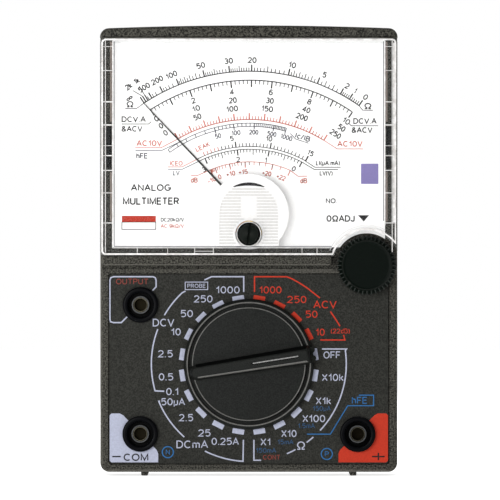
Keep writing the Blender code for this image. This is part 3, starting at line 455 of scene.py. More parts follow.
def bore_brass():
    """Brass tube that is bright at its mouth and dark down its bore, partly tarnish and partly painted
    shade of the deep bore.
    """
    look = Look("socket_brass", (0.20, 0.16, 0.08), 0.3, 1.0)
    depth = look.node("ShaderNodeSeparateXYZ")
    look.link(look.place(), depth.inputs["Vector"])
    fade = look.spread(depth.outputs["Y"], 0.0, 1.0, JACK_MOUTH * MM, (JACK_MOUTH + TARNISH_AND_SHADE_DEPTH) * MM)
    # Near black at depth: partly tarnish, partly painted shade inside the bore.
    tarnish_and_shade = [(0.0, (0.07, 0.064, 0.046)), (0.35, (0.03, 0.026, 0.017)), (1.0, (0.006, 0.005, 0.003))]
    look.feed(look.ramp(fade, tarnish_and_shade), "Base Color")
    look.bump(look.noise(900.0, 3.0), 0.00002, 0.5)
    return look.material


def edge_highlight_plastic():
    """Cut edges and ribs of the clear cover in a milky pale colour: painted highlights of the light they
    gather.
    """
    look = Look("clear_edge_highlight", (0.80, 0.77, 0.75), 0.25)
    cloud = look.noise(420.0, 3.0, 0.6)
    look.feed(look.ramp(cloud, [(0.35, (0.72, 0.69, 0.67)), (0.65, (0.93, 0.92, 0.91))]), "Base Color")
    look.feed(look.spread(cloud, 0.55, 1.0), "Alpha")
    return look.material


def clear_plastic():
    """Polished clear styrene: nearly invisible face on, and bright at grazing edges."""
    look = Look("clear_plastic", (0.62, 0.64, 0.65), 0.04, Specular_IOR_Level=0.4)
    facing = look.node("ShaderNodeLayerWeight", Blend=0.2).outputs["Facing"]
    scuffs = look.noise(260.0, 5.0, 0.7)
    look.feed(look.spread(scuffs, 0.02, 0.1), "Roughness")
    look.feed(look.spread(facing, 0.012, 0.5), "Alpha")
    look.bump(look.noise(60.0, 1.0), 0.00002, 0.25)
    return look.material


CASE_COLOUR = (0.036, 0.0348, 0.029)
PANEL_COLOUR = (0.0222, 0.0225, 0.0196)
KNOB_COLOUR = (0.0088, 0.0098, 0.0088)
# Name, colour, roughness, size of grain, its contrast, its relief and how much the surface shines.
GRAINED = {
    "case": ("case_plastic", CASE_COLOUR, 0.55, 0.5, 0.9, 0.12, 0.08),
    "knob": ("knob_plastic", KNOB_COLOUR, 0.42, 0.35, 0.35, 0.02, 0.08),
    # Near black for the grip's upper flank and the floor of its index slot: painted shade.
    "grip": ("grip_plastic", (0.0028, 0.0032, 0.003), 0.5, 0.35, 0.35, 0.02, 0.02),
    "knob_line": ("knob_line", (0.20, 0.20, 0.195), 0.4, 0.4, 0.3, 0.01),
    # Paler grey for the skirt's two rings and the grip's lower edge: painted highlight.
    "knob_edge": ("knob_edge", (0.10, 0.099, 0.092), 0.35, 0.4, 0.2, 0.01),
    "adjust": ("adjust_plastic", (0.0014, 0.0032, 0.0021), 0.42, 0.3, 0.3, 0.015, 0.04),
    # Paler colour on the ribs of the zero-ohm knob: painted highlight.
    "crest": ("crest_plastic", (0.028, 0.032, 0.029), 0.5, 0.3, 0.3, 0.015, 0.04),
    "panel": ("panel_print", PANEL_COLOUR, 0.5, 0.42, 0.35, 0.02, 0.05),
    "dial": ("dial_white", (0.84, 0.835, 0.825), 0.6, 0.6, 0.015, 0.004),
    "cover": ("cover_white", (0.84, 0.83, 0.82), 0.5, 0.4, 0.03, 0.01),
    "sleeve": ("sleeve_plastic", (0.022, 0.0235, 0.024), 0.4, 0.4, 0.2, 0.01),
    "board": ("board_phenolic", (0.30, 0.19, 0.07), 0.5, 0.8, 0.18, 0.02),
    "component": ("component_ceramic", (0.50, 0.43, 0.30), 0.6, 0.4, 0.1, 0.02),
    "component_black": ("component_black", (0.02, 0.02, 0.02), 0.45, 0.4, 0.2, 0.02),
    "capacitor": ("capacitor_dip", (0.42, 0.05, 0.03), 0.25, 3.0, 0.08, 0.05),
    "cell": ("cell_sleeve", (0.30, 0.045, 0.035), 0.35, 2.0, 0.05, 0.01),
    "lead": ("lead_sleeve", (0.38, 0.025, 0.02), 0.5, 0.8, 0.06, 0.02),
}
# Name, colour, roughness and perhaps how the marks are stretched.
METALS = {
    "brass": ("brass", (0.72, 0.53, 0.24), 0.3),
    "steel": ("steel", (0.60, 0.60, 0.61), 0.32),
    "aluminium": ("aluminium", (0.76, 0.76, 0.77), 0.4),
    "copper": ("copper_wire", (0.70, 0.33, 0.16), 0.35, (1, 14, 1)),
    "fuse": ("fuse_caps", (0.70, 0.70, 0.70), 0.25),
}
# Name, colour and perhaps roughness.
PRINTED = {
    # Grey for the lines in the movement cover's grooves: painted shade.
    "cover_groove_shade": ("cover_groove_shade", (0.60, 0.59, 0.57)),
    "step": ("window_step", (0.18, 0.15, 0.13)),
    "needle": ("needle_black", (0.02, 0.018, 0.018), 0.45),
    "ink_white": ("ink_white", (0.37, 0.39, 0.49)),
    "ink_red": ("ink_red", (0.44, 0.030, 0.012)),
    "ink_dull_red": ("ink_dull_red", (0.20, 0.040, 0.030)),
    "ink_soft_red": ("ink_soft_red", (0.52, 0.15, 0.115)),
    "ink_blue": ("ink_blue", (0.022, 0.115, 0.29)),
    "ink_dull_blue": ("ink_dull_blue", (0.026, 0.070, 0.15)),
    "ink_black": ("ink_black", (0.012, 0.011, 0.012)),
    # Grey of the gain ladder, also used for painted shadow lines along the dial's edges.
    "ink_grey_and_edge_shadow": ("ink_grey_and_edge_shadow", (0.07, 0.07, 0.09)),
    "ink_lilac": ("ink_lilac", (0.21, 0.18, 0.40)),
}


def make_materials():
    """Every material of the meter by name."""
    looks = {key: grained(*row) for key, row in GRAINED.items()}
    looks["case"].wear((0.12, 0.115, 0.10), 0.45)
    looks["adjust"].wear((0.06, 0.06, 0.055), 0.35)
    # The dial glows a little, though it is no lamp: painted light that keeps it evenly white and washes out
    # shadows on it.
    looks["dial"].set("Emission Color", (1, 1, 1, 1))
    looks["dial"].set("Emission Strength", 0.20)
    looks["collar"] = Look("collar_plastic", (0.0016, 0.0018, 0.0024), 0.3, Specular_IOR_Level=0.03)
    looks["collar"].bump(looks["collar"].noise(700.0, 3.0), 0.00002, 0.5)
    made = {key: look.material for key, look in looks.items()}
    made.update({key: metal(*row) for key, row in METALS.items()})
    made.update({key: printed(*row) for key, row in PRINTED.items()})
    # edge: pale lines painted as highlights on the clear cover's edges and ribs.
    made.update(window=clear_plastic(), edge=edge_highlight_plastic(), bore=bore_brass())
    return made


MATERIALS = make_materials()

KEPT_NODES = {
    "dial": ("scale_plate",),
    "steel": ("yoke_ring", "core_magnet", "movement_screw_left", "movement_screw_right",
              "case_screw_lower", "case_screw_upper", "board_screw", "knob_screw", "detent_ball",
              "detent_spring", "cell_spring", "front_pivot", "rear_pivot", "potentiometer_body"),
    "aluminium": ("movement_frame", "front_bridge", "potentiometer_shaft"),
    "brass": ("fuse_clip_left", "fuse_clip_right", "front_jewel_screw", "rear_jewel_screw", "zero_lever",
              "wiper_contact", "cell_link_plate", "cell_contact_plate", "counterweight"),
    "copper": ("moving_coil", "front_hairspring", "rear_hairspring"),
    "needle": ("needle",),
    "cover": ("selector_rotor",),
    "board": ("circuit_board",),
    "component": ("resistor_upper", "resistor_lower", "shunt_resistor"),
    "component_black": ("rectifier_diode", "snap_connector"),
    "capacitor": ("output_capacitor",),
    "fuse": ("fuse",),
    "cell": ("aa_cell_left", "aa_cell_right", "battery_9v"),
    "lead": ("movement_lead", "cell_lead", "snap_lead"),
}


def dress_kept_nodes():
    """Give the CAD parts that stay in view, or stay inside, their finished materials."""
    for key, names in KEPT_NODES.items():
        for name in names:
            node = nodes[name]
            if not node.material_slots:
                node.data.materials.append(None)
            for slot in node.material_slots:
                slot.link = "OBJECT"
                slot.material = MATERIALS[key]


# ---------------------------------------------------------------- case

def detent_ring(bm):
    """Toothed ring behind the panel, which the switch's ball clicks into."""
    count, clicks, back = 120, 20, -5.2
    crest, tooth, rim = 15.5, 0.5, 17.5
    inner = []
    for i in range(count):
        angle = 360 * i / count
        wave = (1 + math.cos(math.radians(clicks * (angle - 90)))) / 2
        inner.append(polar(KNOB, crest + tooth * wave, angle))
    outer = circle(KNOB.x, KNOB.z, rim, count)
    front = FACE + WALL - GAP
    rings = [outline_ring(bm, y, outline)
             for y, outline in ((front, inner), (front, outer), (back, outer), (back, inner))]
    join(bm, rings + rings[:1], ends=False)


def foot_peg(bm, x, y):
    """Short round peg under the case, with a softened end."""
    sizes = ((FOOT_RADIUS - 0.25, 0), (FOOT_RADIUS, 0.25), (FOOT_RADIUS, FOOT_LENGTH + 0.5))
    join(bm, [[bm.verts.new((px, py, z)) for px, py in circle(x, y, radius, 24)] for radius, z in sizes])


def cell_shelf(bm, side):
    """Ledge inside one side of the case, under the contact plates of the cells."""
    front, back = FACE + WALL - GAP, 9.0
    inner, inside = 15.0, HALF_WIDTH - WALL
    shelf = [(inner, front), (inside + 0.3, front), (inside + 0.3, SPLIT - 0.5),
             (inside - 0.5, SPLIT - 0.5), (inside - 0.5, back), (inner, back)]
    extrude(bm, [(side * x, y) for x, y in shelf], SHELF_HIGH - 1.5, SHELF_HIGH, "Z")


def brow_outline(inset):
    """Bar above the window, its lower edge rounded less than its sides."""
    return case_outline(inset, BROW_BOTTOM + inset * 0.35)


def ridge_outline(inset):
    """Bar under the window."""
    return rounded(RIDGE_LEFT + inset, RIDGE_RIGHT - inset, RIDGE_TOP - RIDGE_HEIGHT + inset,
                   RIDGE_TOP - inset, 0.9 - inset)


def add_to_front(shell):
    """Join on the two bars, and what stands up inside the front case."""
    bm = bmesh.new()
    stack(bm, rolled(BROW_FRONT, 1.1, brow_outline) + [(FACE + 1.3, case_outline(0, BROW_BOTTOM))])
    carve(shell, bm, "UNION")
    bm = bmesh.new()
    stack(bm, rolled(RIDGE_FRONT, 0.45, ridge_outline) + [(FACE + 0.5, ridge_outline(0))])
    for side in (-1, 1):
        cell_shelf(bm, side)
        disc(bm, side * MOVEMENT_BOSS_X, MOVEMENT_BOSS_Z, 2.7, FACE + WALL - 0.4, 3.7, 24)
        foot_peg(bm, side * FOOT_X, FOOT_FRONT)
    for z, back in ((LOWER_SCREW, BOARD_LOW.y - GAP), (UPPER_SCREW, SPLIT - GAP)):
        disc(bm, 0, z, 3.0, FACE + WALL - GAP, back, 24)
    detent_ring(bm)
    carve(shell, bm, "UNION")


def cut_from_front(shell):
    """Sink the panel recess, the dial opening and the groove, and open every hole."""
    bm = bmesh.new()
    extrude(bm, rounded(-46.9, 46.9, 3.7, 67.6, 1.2), FACE - 1, RECESS_FLOOR)
    extrude(bm, notched(DIAL_HIGH.x + GAP, DIAL_LOW.z - GAP, DIAL_HIGH.z + GAP, DIAL_NOTCH - GAP, 0.6),
            FACE - 1, DIAL_HIGH.y + GAP)
    block(bm, (RIDGE_LEFT, RIDGE_RIGHT), (FACE - 1, FACE + 0.6), (69.0, 69.9))
    carve(shell, bm)
    bm = bmesh.new()
    disc(bm, KNOB.x, KNOB.z, 4.8, FACE, HOLE_END)
    disc(bm, NEEDLE.x, NEEDLE.z, 11.8, FACE, HOLE_END, 64)
    disc(bm, ADJUST.x, ADJUST.z, 3.4, FACE - 1, HOLE_END)
    for at in JACKS.values():
        disc(bm, at.x, at.z, COLLAR_HOLE, FACE, HOLE_END)
    for side in (-1, 1):
        left, right = sorted((side * 45.9, side * 47.7))
        block(bm, (left, right), (FACE - 1, HOLE_END), (LUG_LOW - GAP, LUG_HIGH + GAP))
        disc(bm, side * MOVEMENT_BOSS_X, MOVEMENT_BOSS_Z, 1.4, -5.5, 5.0, 24)
    for z, back in ((LOWER_SCREW, 0.0), (UPPER_SCREW, 4.0)):
        disc(bm, 0, z, 1.6, -6.6, back, 24)
    carve(shell, bm)


def front_shell():
    """Front case with rolled edges, bars above and below the window, and its inner bosses."""
    bm = bmesh.new()
    stack(bm, rolled(FACE, 0.9, case_outline) + [(SPLIT - 0.15, case_outline())])
    shell = to_object("front_shell", bm)
    bm = bmesh.new()
    extrude(bm, case_outline(WALL), FACE + WALL, SPLIT + 2)
    carve(shell, bm)
    add_to_front(shell)
    cut_from_front(shell)
    dress(shell, "case", "housing", ["front_case"])


def rear_shell():
    """Rear case with a rolled back edge, a shallow parting step and two screw wells."""
    back, roll, steps = REAR_HIGH.y, 2.2, 6
    sections = [(SPLIT + 0.15, case_outline(0.25)), (SPLIT + 0.45, case_outline(0))]
    for i in range(steps + 1):
        a = math.radians(90 * i / steps)
        sections.append((back - roll * (1 - math.sin(a)), case_outline(roll * (1 - math.cos(a)))))
    bm = bmesh.new()
    stack(bm, sections)
    shell = to_object("rear_shell", bm)
    bm = bmesh.new()
    extrude(bm, case_outline(WALL), SPLIT - 2, back - WALL)
    carve(shell, bm)
    bm = bmesh.new()
    for z, front in ((LOWER_SCREW, BOARD_HIGH.y + GAP), (UPPER_SCREW, SPLIT + 0.15)):
        disc(bm, 0, z, 4.4, front, back - WALL + 0.4, 32)
    for side in (-1, 1):
        foot_peg(bm, side * FOOT_X, FOOT_REAR)
    carve(shell, bm, "UNION")
    bm = bmesh.new()
    for z in (LOWER_SCREW, UPPER_SCREW):
        turned(bm, [(0, -2), (1.6, -2), (1.6, 11.0), (3.0, 11.0), (3.0, back - 0.4), (3.4, back + 0.1),
                    (3.4, back + 1), (0, back + 1)], 40, 0, z)
    carve(shell, bm)
    dress(shell, "case", "housing", ["rear_case"])


def parting_lip():
    """Thin wall inside the case that covers the parting gap, so that no light comes through."""
    bm = bmesh.new()
    extrude(bm, case_outline(WALL - 0.1), SPLIT - 1.4, SPLIT + 1.4)
    lip = to_object("parting_lip", bm)
    bm = bmesh.new()
    extrude(bm, case_outline(WALL + 0.5), SPLIT - 3, SPLIT + 3)
    carve(lip, bm)
    dress(lip, "case", "housing")


# ---------------------------------------------------------------- window

WINDOW_FACE = WINDOW_LOW.y + GAP         # front of the flat part of the cover
WINDOW_BACK = WINDOW_FACE + 2.0          # back of that flat part
SILL = 76.0                              # height of the line under the dial
# Height and width of the short ribs across both side bands of the cover.
SIDE_RIBS = ((143.0, 0.2), (135.0, 0.2), (124.6, 0.36), (116.9, 0.4), (110.0, 0.16), (106.7, 0.3),
             (101.8, 0.26), (94.3, 0.26), (84.3, 0.26))


def window_outline(inset):
    return notched(HALF_WIDTH - inset, WINDOW_LOW.z + inset, WINDOW_HIGH.z - inset,
                   WINDOW_NOTCH + inset, max(1.6 - inset, 0.4))


def window_cover():
    """Clear cover with rolled front edges, snap lugs and a raised ring around the screw."""
    front, wall = WINDOW_FACE, 1.3
    bm = bmesh.new()
    stack(bm, rolled(front, 0.8, window_outline) + [(FACE - 0.3, window_outline(0))])
    cover = to_object("window_cover", bm)
    bm = bmesh.new()
    stack(bm, rolled(WINDOW_BACK, 0.5, lambda inset: window_outline(wall + inset))
          + [(FACE + 1, window_outline(wall))])
    carve(cover, bm)
    bm = bmesh.new()
    turned(bm, [(0, front - 0.3), (4.1, front - 0.3), (4.3, front - 0.1), (4.3, front + 1), (0, front + 1)],
           48, TRIM.x, TRIM.z)
    for side in (-1, 1):
        hook = [(46.2, -11.2), (48.6, -11.2), (48.6, -10.1), (47.4, -10.1), (47.4, -6.6), (46.2, -6.6)]
        extrude(bm, [(side * x, y) for x, y in hook], LUG_LOW, LUG_HIGH, "Z")
    carve(cover, bm, "UNION")
    bm = bmesh.new()
    disc(bm, TRIM.x, TRIM.z, 3.6, front - 1, front + 4)
    carve(cover, bm)
    dress(cover, "window", "housing", ["meter_window"])


def window_rib_highlights():
    """Edges and small ribs of the clear cover, in a pale colour as painted highlights of the light they
    catch.
    """
    low, high = WINDOW_LOW.z, WINDOW_HIGH.z
    bm = bmesh.new()

    def rib(points, width, depth=0.5):
        ribbon(bm, points, width, WINDOW_BACK + 0.05, depth)

    # Pale ring and ribs: painted highlights of light caught on the cover's edges.
    ring = notched(HALF_WIDTH - 0.75, low + 0.45, high - 0.3, WINDOW_NOTCH + 0.75, 1.2)
    ribbon(bm, ring, 0.55, WINDOW_FACE + 0.25, 0.5, closed=True)
    for side, dial_foot in ((-1, SILL), (1, 83.5)):
        for x, width, foot in ((47.7, 0.25, low + 1.0), (45.3, 0.34, dial_foot)):
            rib([(side * x, foot), (side * x, high - 0.6)], width)
        for z, width in SIDE_RIBS:
            rib([(side * 45.4, z), (side * 48.5, z)], width)
    rib([(-45.3, SILL), (27.6, SILL)], 0.2)
    rib([(48.35, 84.5), (48.35, 144.3)], 0.75)
    for x in (-37.1, -27.0, -18.0, -11.8, 17.7, 22.7):
        rib([(x, low + 0.6), (x, SILL)], 0.22)
    rib([(-18.0, 74.9), (-11.8, 74.9)], 0.16)
    ribbon(bm, circle(TRIM.x, TRIM.z, 4.0, 48), 0.22, WINDOW_FACE - 0.29, 0.3, closed=True)
    for radius in (12.35, 13.3):
        rib(arc(ADJUST.x, ADJUST.z, radius, 62, 158, 32), 0.12, 0.3)
    dress(to_object("window_rib_highlights", bm), "edge", "housing", smooth=20)


def window_steps():
    """Darker steps down the side bands, above and below the snap lugs."""
    bm = bmesh.new()
    for x in (-45.85, 45.85):
        for foot, top in ((118.0, 144.6), (84.8, 101.2)):
            ribbon(bm, [(x, foot), (x, top)], 0.6, WINDOW_BACK + 0.2, 0.4)
    dress(to_object("window_steps", bm), "step", "housing", smooth=20)


def cover_outline(inset):
    """Disc over the movement, carried down to the bottom edge as a wide tongue."""
    radius = 13.3 - inset
    half = 10.0 - inset
    bottom = COVER_LOW.z + inset
    drop = math.degrees(math.acos(half / radius))
    return arc(NEEDLE.x, NEEDLE.z, radius, -drop, 180 + drop, 72) + [(-half, bottom), (half, bottom)]


def crescent(rim, rim_reach, hollow, hollow_reach):
    """Crescent between a circle about the pivot and a flatter one about a point far below it."""
    return (arc(NEEDLE.x, NEEDLE.z, rim, 90 - rim_reach, 90 + rim_reach, 20)
            + arc(NEEDLE.x, NEEDLE.z - 15.75, hollow, 90 + hollow_reach, 90 - hollow_reach, 12))


def ribbed_cover():
    """White cover over the pivots with fine horizontal grooves and a crescent slot at its top."""
    front = COVER_LOW.y
    bm = bmesh.new()
    extrude(bm, cover_outline(0), front, DIAL_FRONT - GAP)
    cover = to_object("ribbed_cover", bm)
    bm = bmesh.new()
    extrude(bm, cover_outline(0.9), front + 0.8, DIAL_FRONT + 1)
    carve(cover, bm)
    bm = bmesh.new()
    block(bm, (-15, 15), (-11.0, DIAL_FRONT + 1), (NEEDLE.z + 2.5, NEEDLE.z + 15))
    disc(bm, TRIM.x, TRIM.z, 4.5, front - 1, front + 1.3)
    extrude(bm, crescent(10.5, 30, 25.15, 11.4), front - 1, front + 1.3)
    carve(cover, bm)
    bm = bmesh.new()
    for z, left, right in cover_grooves():
        block(bm, (left, right), (front - 1, front + 0.3), (z, z + 0.5))
    carve(cover, bm)
    dress(cover, "cover", "housing", ["movement_cover"])


def cover_details():
    """Black patch behind the crescent slot, and grey lines that lie in the grooves: both painted shade."""
    front = COVER_LOW.y
    bm = bmesh.new()
    # Black behind the slot: painted shade inside it.
    patch(bm, crescent(10.8, 32, 24.85, 12.5), front + 0.35)
    dress(to_object("cover_slot_shade", bm), "ink_black", "housing")
    bm = bmesh.new()
    blank, blank_centre, blank_reach = 2.6, 88.5, 4.5        # patch without lines, above the screw
    # Grey line in each groove: painted shade on its floor.
    for z, left, right in cover_grooves():
        plain = blank if left < 0 < right and abs(z - blank_centre) < blank_reach else 0
        for start, end in ((left, -plain), (plain, right)) if plain else ((left, right),):
            ribbon(bm, [(start + 0.05, z + 0.25), (end - 0.05, z + 0.25)], 0.3, front + 0.2)
    dress(to_object("cover_groove_shade_lines", bm), "cover_groove_shade", "housing", smooth=20)


def cover_grooves():
    """Horizontal grooves of the cover, kept clear of the screw's hole and the crescent."""
    reach, clear, pitch = 9.8, 5.2, 1.0
    z = COVER_LOW.z + 0.75
    while z < NEEDLE.z + 9.0:
        half = reach if z < NEEDLE.z else math.sqrt(reach ** 2 - (z - NEEDLE.z) ** 2)
        if abs(z + 0.25 - TRIM.z) < clear:
            gap = math.sqrt(clear ** 2 - (z + 0.25 - TRIM.z) ** 2)
            yield z, -half, -gap
            yield z, gap, half
        else:
            yield z, -half, half
        z += pitch


def trim_screw():
    """Black slotted zero-adjust screw with its off-centre pin."""
    front = TRIM_LOW.y
    bm = bmesh.new()
    turned(bm, [(0, front), (2.7, front), (3.05, front + 0.06), (3.25, front + 0.28), (3.3, front + 0.6),
                (3.3, -14.2), (4.1, -14.2), (4.1, -13.5), (0, -13.5)], 64, TRIM.x, TRIM.z)
    screw = to_object("trim_screw", bm)
    bm = bmesh.new()
    slot = block(bm, (TRIM.x - 0.36, TRIM.x + 0.36), (front - 1, front + 1.0), (TRIM.z - 4, TRIM.z + 4))
    spin_front(slot, -8, TRIM)
    carve(screw, bm)
    bm = bmesh.new()
    disc(bm, TRIM.x, TRIM.z + 1.0, 0.45, -13.9, TRIM_HIGH.y, 20)
    carve(screw, bm, "UNION")
    dress(screw, "adjust", "zero_screw", ["zero_adjust_screw"])


# ---------------------------------------------------------------- knobs

def grip_section(tail, nose, tail_half, nose_half):
    """Grip bar seen from the front, pointing along +X from the knob's centre."""
    corner = min(0.7, nose_half * 0.5)
    return (arc(-tail + tail_half, 0, tail_half, 90, 270, 14)
            + arc(nose - corner, -nose_half + corner, corner, -90, 0, 4)
            + arc(nose - corner, nose_half - corner, corner, 0, 90, 4))


GRIP_FRONT = -17.5
# Sections of the grip from its foot up: y, tail, nose, and half its width at the tail and the nose.
GRIP_LEVELS = ((-11.0, 20.3, 21.1, 2.75, 3.3), (-12.6, 20.1, 20.95, 2.6, 3.1),
               (-15.4, 19.6, 20.6, 2.15, 2.6), (-16.7, 19.35, 20.4, 1.95, 2.35),
               (-17.2, 19.1, 20.1, 1.7, 2.05), (-17.42, 18.85, 19.8, 1.45, 1.75),
               (GRIP_FRONT, 18.6, 19.5, 1.2, 1.45))


def spin_piece(piece):
    """Turn a piece of the switch knob from level to its rest angle."""
    centre = Matrix.Translation(KNOB * MM)
    piece.data.transform(centre @ Matrix.Rotation(math.radians(-KNOB_REST), 4, "Y") @ centre.inverted())


def grip_piece(name, bm, material):
    """Finish a piece of the switch knob that was drawn level."""
    piece = to_object(name, bm)
    spin_piece(piece)
    return dress(piece, material, "selector")


def knob_bead(name, radius, width, y, depth=0.35):
    """Rounded ring that stands proud on the skirt of the switch knob, in a paler grey as a painted
    highlight.
    """
    bm = bmesh.new()
    crest = [(radius + width / 2 * math.cos(math.radians(a)), y - depth * math.sin(math.radians(a)))
             for a in range(180, -1, -30)]
    turned(bm, crest + [(radius + width / 2, y + 0.3), (radius - width / 2, y + 0.3)], 144, KNOB.x, KNOB.z,
           closed=True)
    dress(to_object(name, bm), "knob_edge", "selector", smooth=60)


def grip_strip(name, levels, side, material):
    """Thin skin over one long flank of the grip: the upper with side 1, in painted shade, the lower with
    side -1, as a painted highlight.
    """
    bm = bmesh.new()
    rings = []
    for y, tail, nose, tail_half, nose_half in levels:
        ends = ((-tail + tail_half, tail_half), (nose - 0.7, nose_half))
        rings.append([bm.verts.new((KNOB.x + along, y - skin, KNOB.z + side * (half + skin)))
                      for skin in (-0.05, 0.04) for along, half in ends])
    join_strips(bm, rings)
    grip_piece(name, bm, material)


def knob_slot(bm, start, end, rise, half, corner, low, high, steps=4):
    """Rounded bar along the grip, from start to end of its length and half wide either side."""
    z = KNOB.z + rise
    extrude(bm, rounded(KNOB.x + start, KNOB.x + end, z - half, z + half, corner, steps), low, high)


def range_knob():
    """Switch knob: turned skirt with two fine rings, bevelled grip and forked pointer tip."""
    under = KNOB_HIGH.y
    bm = bmesh.new()
    skirt = [(0, -12.1), (18.5, -12.1), (18.95, -12.0), (19.1, -11.8), (19.15, -10.4), (20.1, -10.4),
             (20.15, -11.7), (20.3, -11.95), (20.8, -12.0), (21.2, -11.8), (21.5, -11.4), (21.7, -10.8),
             (21.7, -9.5), (21.5, -9.3), (4.5, -9.3)]
    hub = [(4.5, under), (1.4, under), (1.4, -9.9), (0, -9.9)]
    turned(bm, skirt + hub, 144, KNOB.x, KNOB.z)
    dress(to_object("switch_skirt", bm), "knob", "selector", ["range_knob"])
    # Two fine rings in the paler grey: painted highlights on the skirt.
    knob_bead("skirt_ring_outer", 20.5, 0.5, -11.95)
    knob_bead("skirt_ring_inner", 18.75, 0.36, -12.05, 0.2)
    knob_grip()
    pointer_tip()


def knob_grip():
    """Grip bar of the switch knob with its index line sunk in a slot."""
    bm = bmesh.new()
    stack(bm, [(y, [(KNOB.x + a, KNOB.z + b) for a, b in grip_section(*shape)])
               for y, *shape in GRIP_LEVELS])
    grip = to_object("switch_grip", bm)
    bm = bmesh.new()
    knob_slot(bm, 0.8, 17.0, 0, 0.5, 0.48, GRIP_FRONT - 1, -17.15)
    carve(grip, bm)
    spin_piece(grip)
    dress(grip, "knob", "selector")
    # Upper flank in near black: painted shade where the light from below does not reach.
    grip_strip("switch_grip_shade", GRIP_LEVELS[:5], 1, "grip")
    # Lower edge in a paler grey: painted highlight.
    grip_strip("switch_grip_edge_highlight", GRIP_LEVELS[3:6], -1, "knob_edge")
    bm = bmesh.new()
    # Near black floor of the index slot: painted shade in the recess.
    knob_slot(bm, 0.9, 16.9, 0, 0.4, 0.38, -17.19, -17.1)
    grip_piece("switch_index_well_shade", bm, "grip")
    bm = bmesh.new()
    knob_slot(bm, 1.3, 16.7, 0.1, 0.2, 0.18, -17.35, -17.1, steps=3)
    grip_piece("switch_index_line", bm, "knob_line")


def pointer_tip():
    """Forked tip that stands out past the skirt."""
    upper = [(21.5, 0.12), (22.3, 0.8), (22.5, 1.4), (22.4, 1.95), (21.9, 2.35), (19.8, 2.6)]
    nose = [(a, -b) for a, b in upper[::-1]] + upper
    bm = bmesh.new()
    extrude(bm, [(KNOB.x + a, KNOB.z + b) for a, b in nose], -13.2, -9.6)
    tip = to_object("switch_pointer", bm)
    spin_piece(tip)
    dress(tip, "adjust", "selector", bevel=0.12)


ADJUST_RIBS = 40


def rib_ring(radius, depth, per_rib=6):
    """Outline round the zero-ohm knob, with grooves of the given depth between its ribs."""
    count = ADJUST_RIBS * per_rib
    waves = [(1 + math.cos(2 * math.pi * i / per_rib)) / 2 for i in range(count)]
    return [polar(ADJUST, radius - depth * (1 - wave ** 0.6), 360 * i / count)
            for i, wave in enumerate(waves)]


def adjust_knob():
    """Zero-ohm knob with rounded ribs round its rim and a slightly dished face."""
    front, back = ADJUST_LOW.y, ADJUST_HIGH.y
    profile = ((front + 0.25, 7.2, 0), (front + 0.12, 7.7, 0), (front, 8.0, 0), (front + 0.04, 8.25, 0),
               (front + 0.3, 8.45, 0.1), (front + 0.75, 9.0, 0.45), (front + 1.1, 9.6, 0.6),
               (front + 1.5, 9.95, 0.65), (back - 0.3, 10.0, 0.65), (back, 9.8, 0.6))
    bm = bmesh.new()
    stack(bm, [(y, rib_ring(radius, depth)) for y, radius, depth in profile])
    knob = to_object("adjust_knob", bm)
    bm = bmesh.new()
    disc(bm, ADJUST.x, ADJUST.z, 3.3, -13.5, back + 1, 32)
    carve(knob, bm)
    dress(knob, "adjust", "ohm_adjuster", ["ohm_adjust_knob"], smooth=40)


def adjust_crests():
    """Paler skin along the crest of every rib of the zero-ohm knob, narrower towards the rim: a painted
    highlight.
    """
    front, spread = ADJUST_LOW.y, 20
    crest = [(8.5, front + 0.28), (9.0, front + 0.68), (9.6, front + 1.04), (9.9, front + 1.4)]
    bm = bmesh.new()
    for i in range(ADJUST_RIBS):
        rings = []
        for radius, y in crest:
            lean = spread / radius ** 1.5
            sides = [polar(ADJUST, radius, 360 * i / ADJUST_RIBS + side * lean) for side in (-1, 1)]
            rings.append([bm.verts.new((x, y + depth, z)) for depth in (-0.03, 0.1) for x, z in sides])
        join_strips(bm, rings)
    dress(to_object("adjust_knob_crest_highlights", bm), "crest", "ohm_adjuster", smooth=20)


# ---------------------------------------------------------------- sockets

COLLAR_PROFILE = [
    (2.85, -9.75), (2.68, -9.7), (2.65, -9.4), (2.65, -2.3), (4.9, -2.3), (4.9, -9.3), (5.8, -9.3),
    (5.95, -9.45), (5.95, -10.35), (5.85, -10.7), (5.6, -10.93), (5.25, -11.0), (4.85, -11.0),
    (4.5, -10.9), (4.28, -10.6), (4.2, -10.2), (4.2, -5.0), (2.95, -5.0), (2.95, -9.6)]
LIP_PROFILE = [(2.42, -9.5), (2.42, -9.7), (2.55, -9.85), (2.85, -9.85), (2.97, -9.72), (2.97, -9.5)]
TUBE_PROFILE = [(0, -3.2), (2.05, -3.2), (2.05, -8.8), (2.15, -9.0), (2.3, -9.0), (2.35, -8.9),
                (2.35, -2.3), (1.0, -2.3), (1.0, 1.4), (0, 1.4)]


def sockets():
    """Shrouded test-lead sockets: glossy collar, deep annular well and brass tube."""
    for name, at in JACKS.items():
        bm = bmesh.new()
        turned(bm, COLLAR_PROFILE, 72, at.x, at.z, closed=True)
        dress(to_object("collar_" + name, bm), "collar", "housing",
              ["jack_collar_" + name])
        bm = bmesh.new()
        turned(bm, LIP_PROFILE, 72, at.x, at.z, closed=True)
        dress(to_object("sleeve_lip_" + name, bm), "sleeve", "housing")
        bm = bmesh.new()
        turned(bm, TUBE_PROFILE, 48, at.x, at.z)
        dress(to_object("socket_" + name, bm), "bore", "housing",
              ["jack_socket_" + name])


# ---------------------------------------------------------------- print

INK = 0.03                   # thickness of a printed layer
PEN = 0.135                  # stroke width over capital height
LETTER_GAP = 0.17            # space between letters over capital height

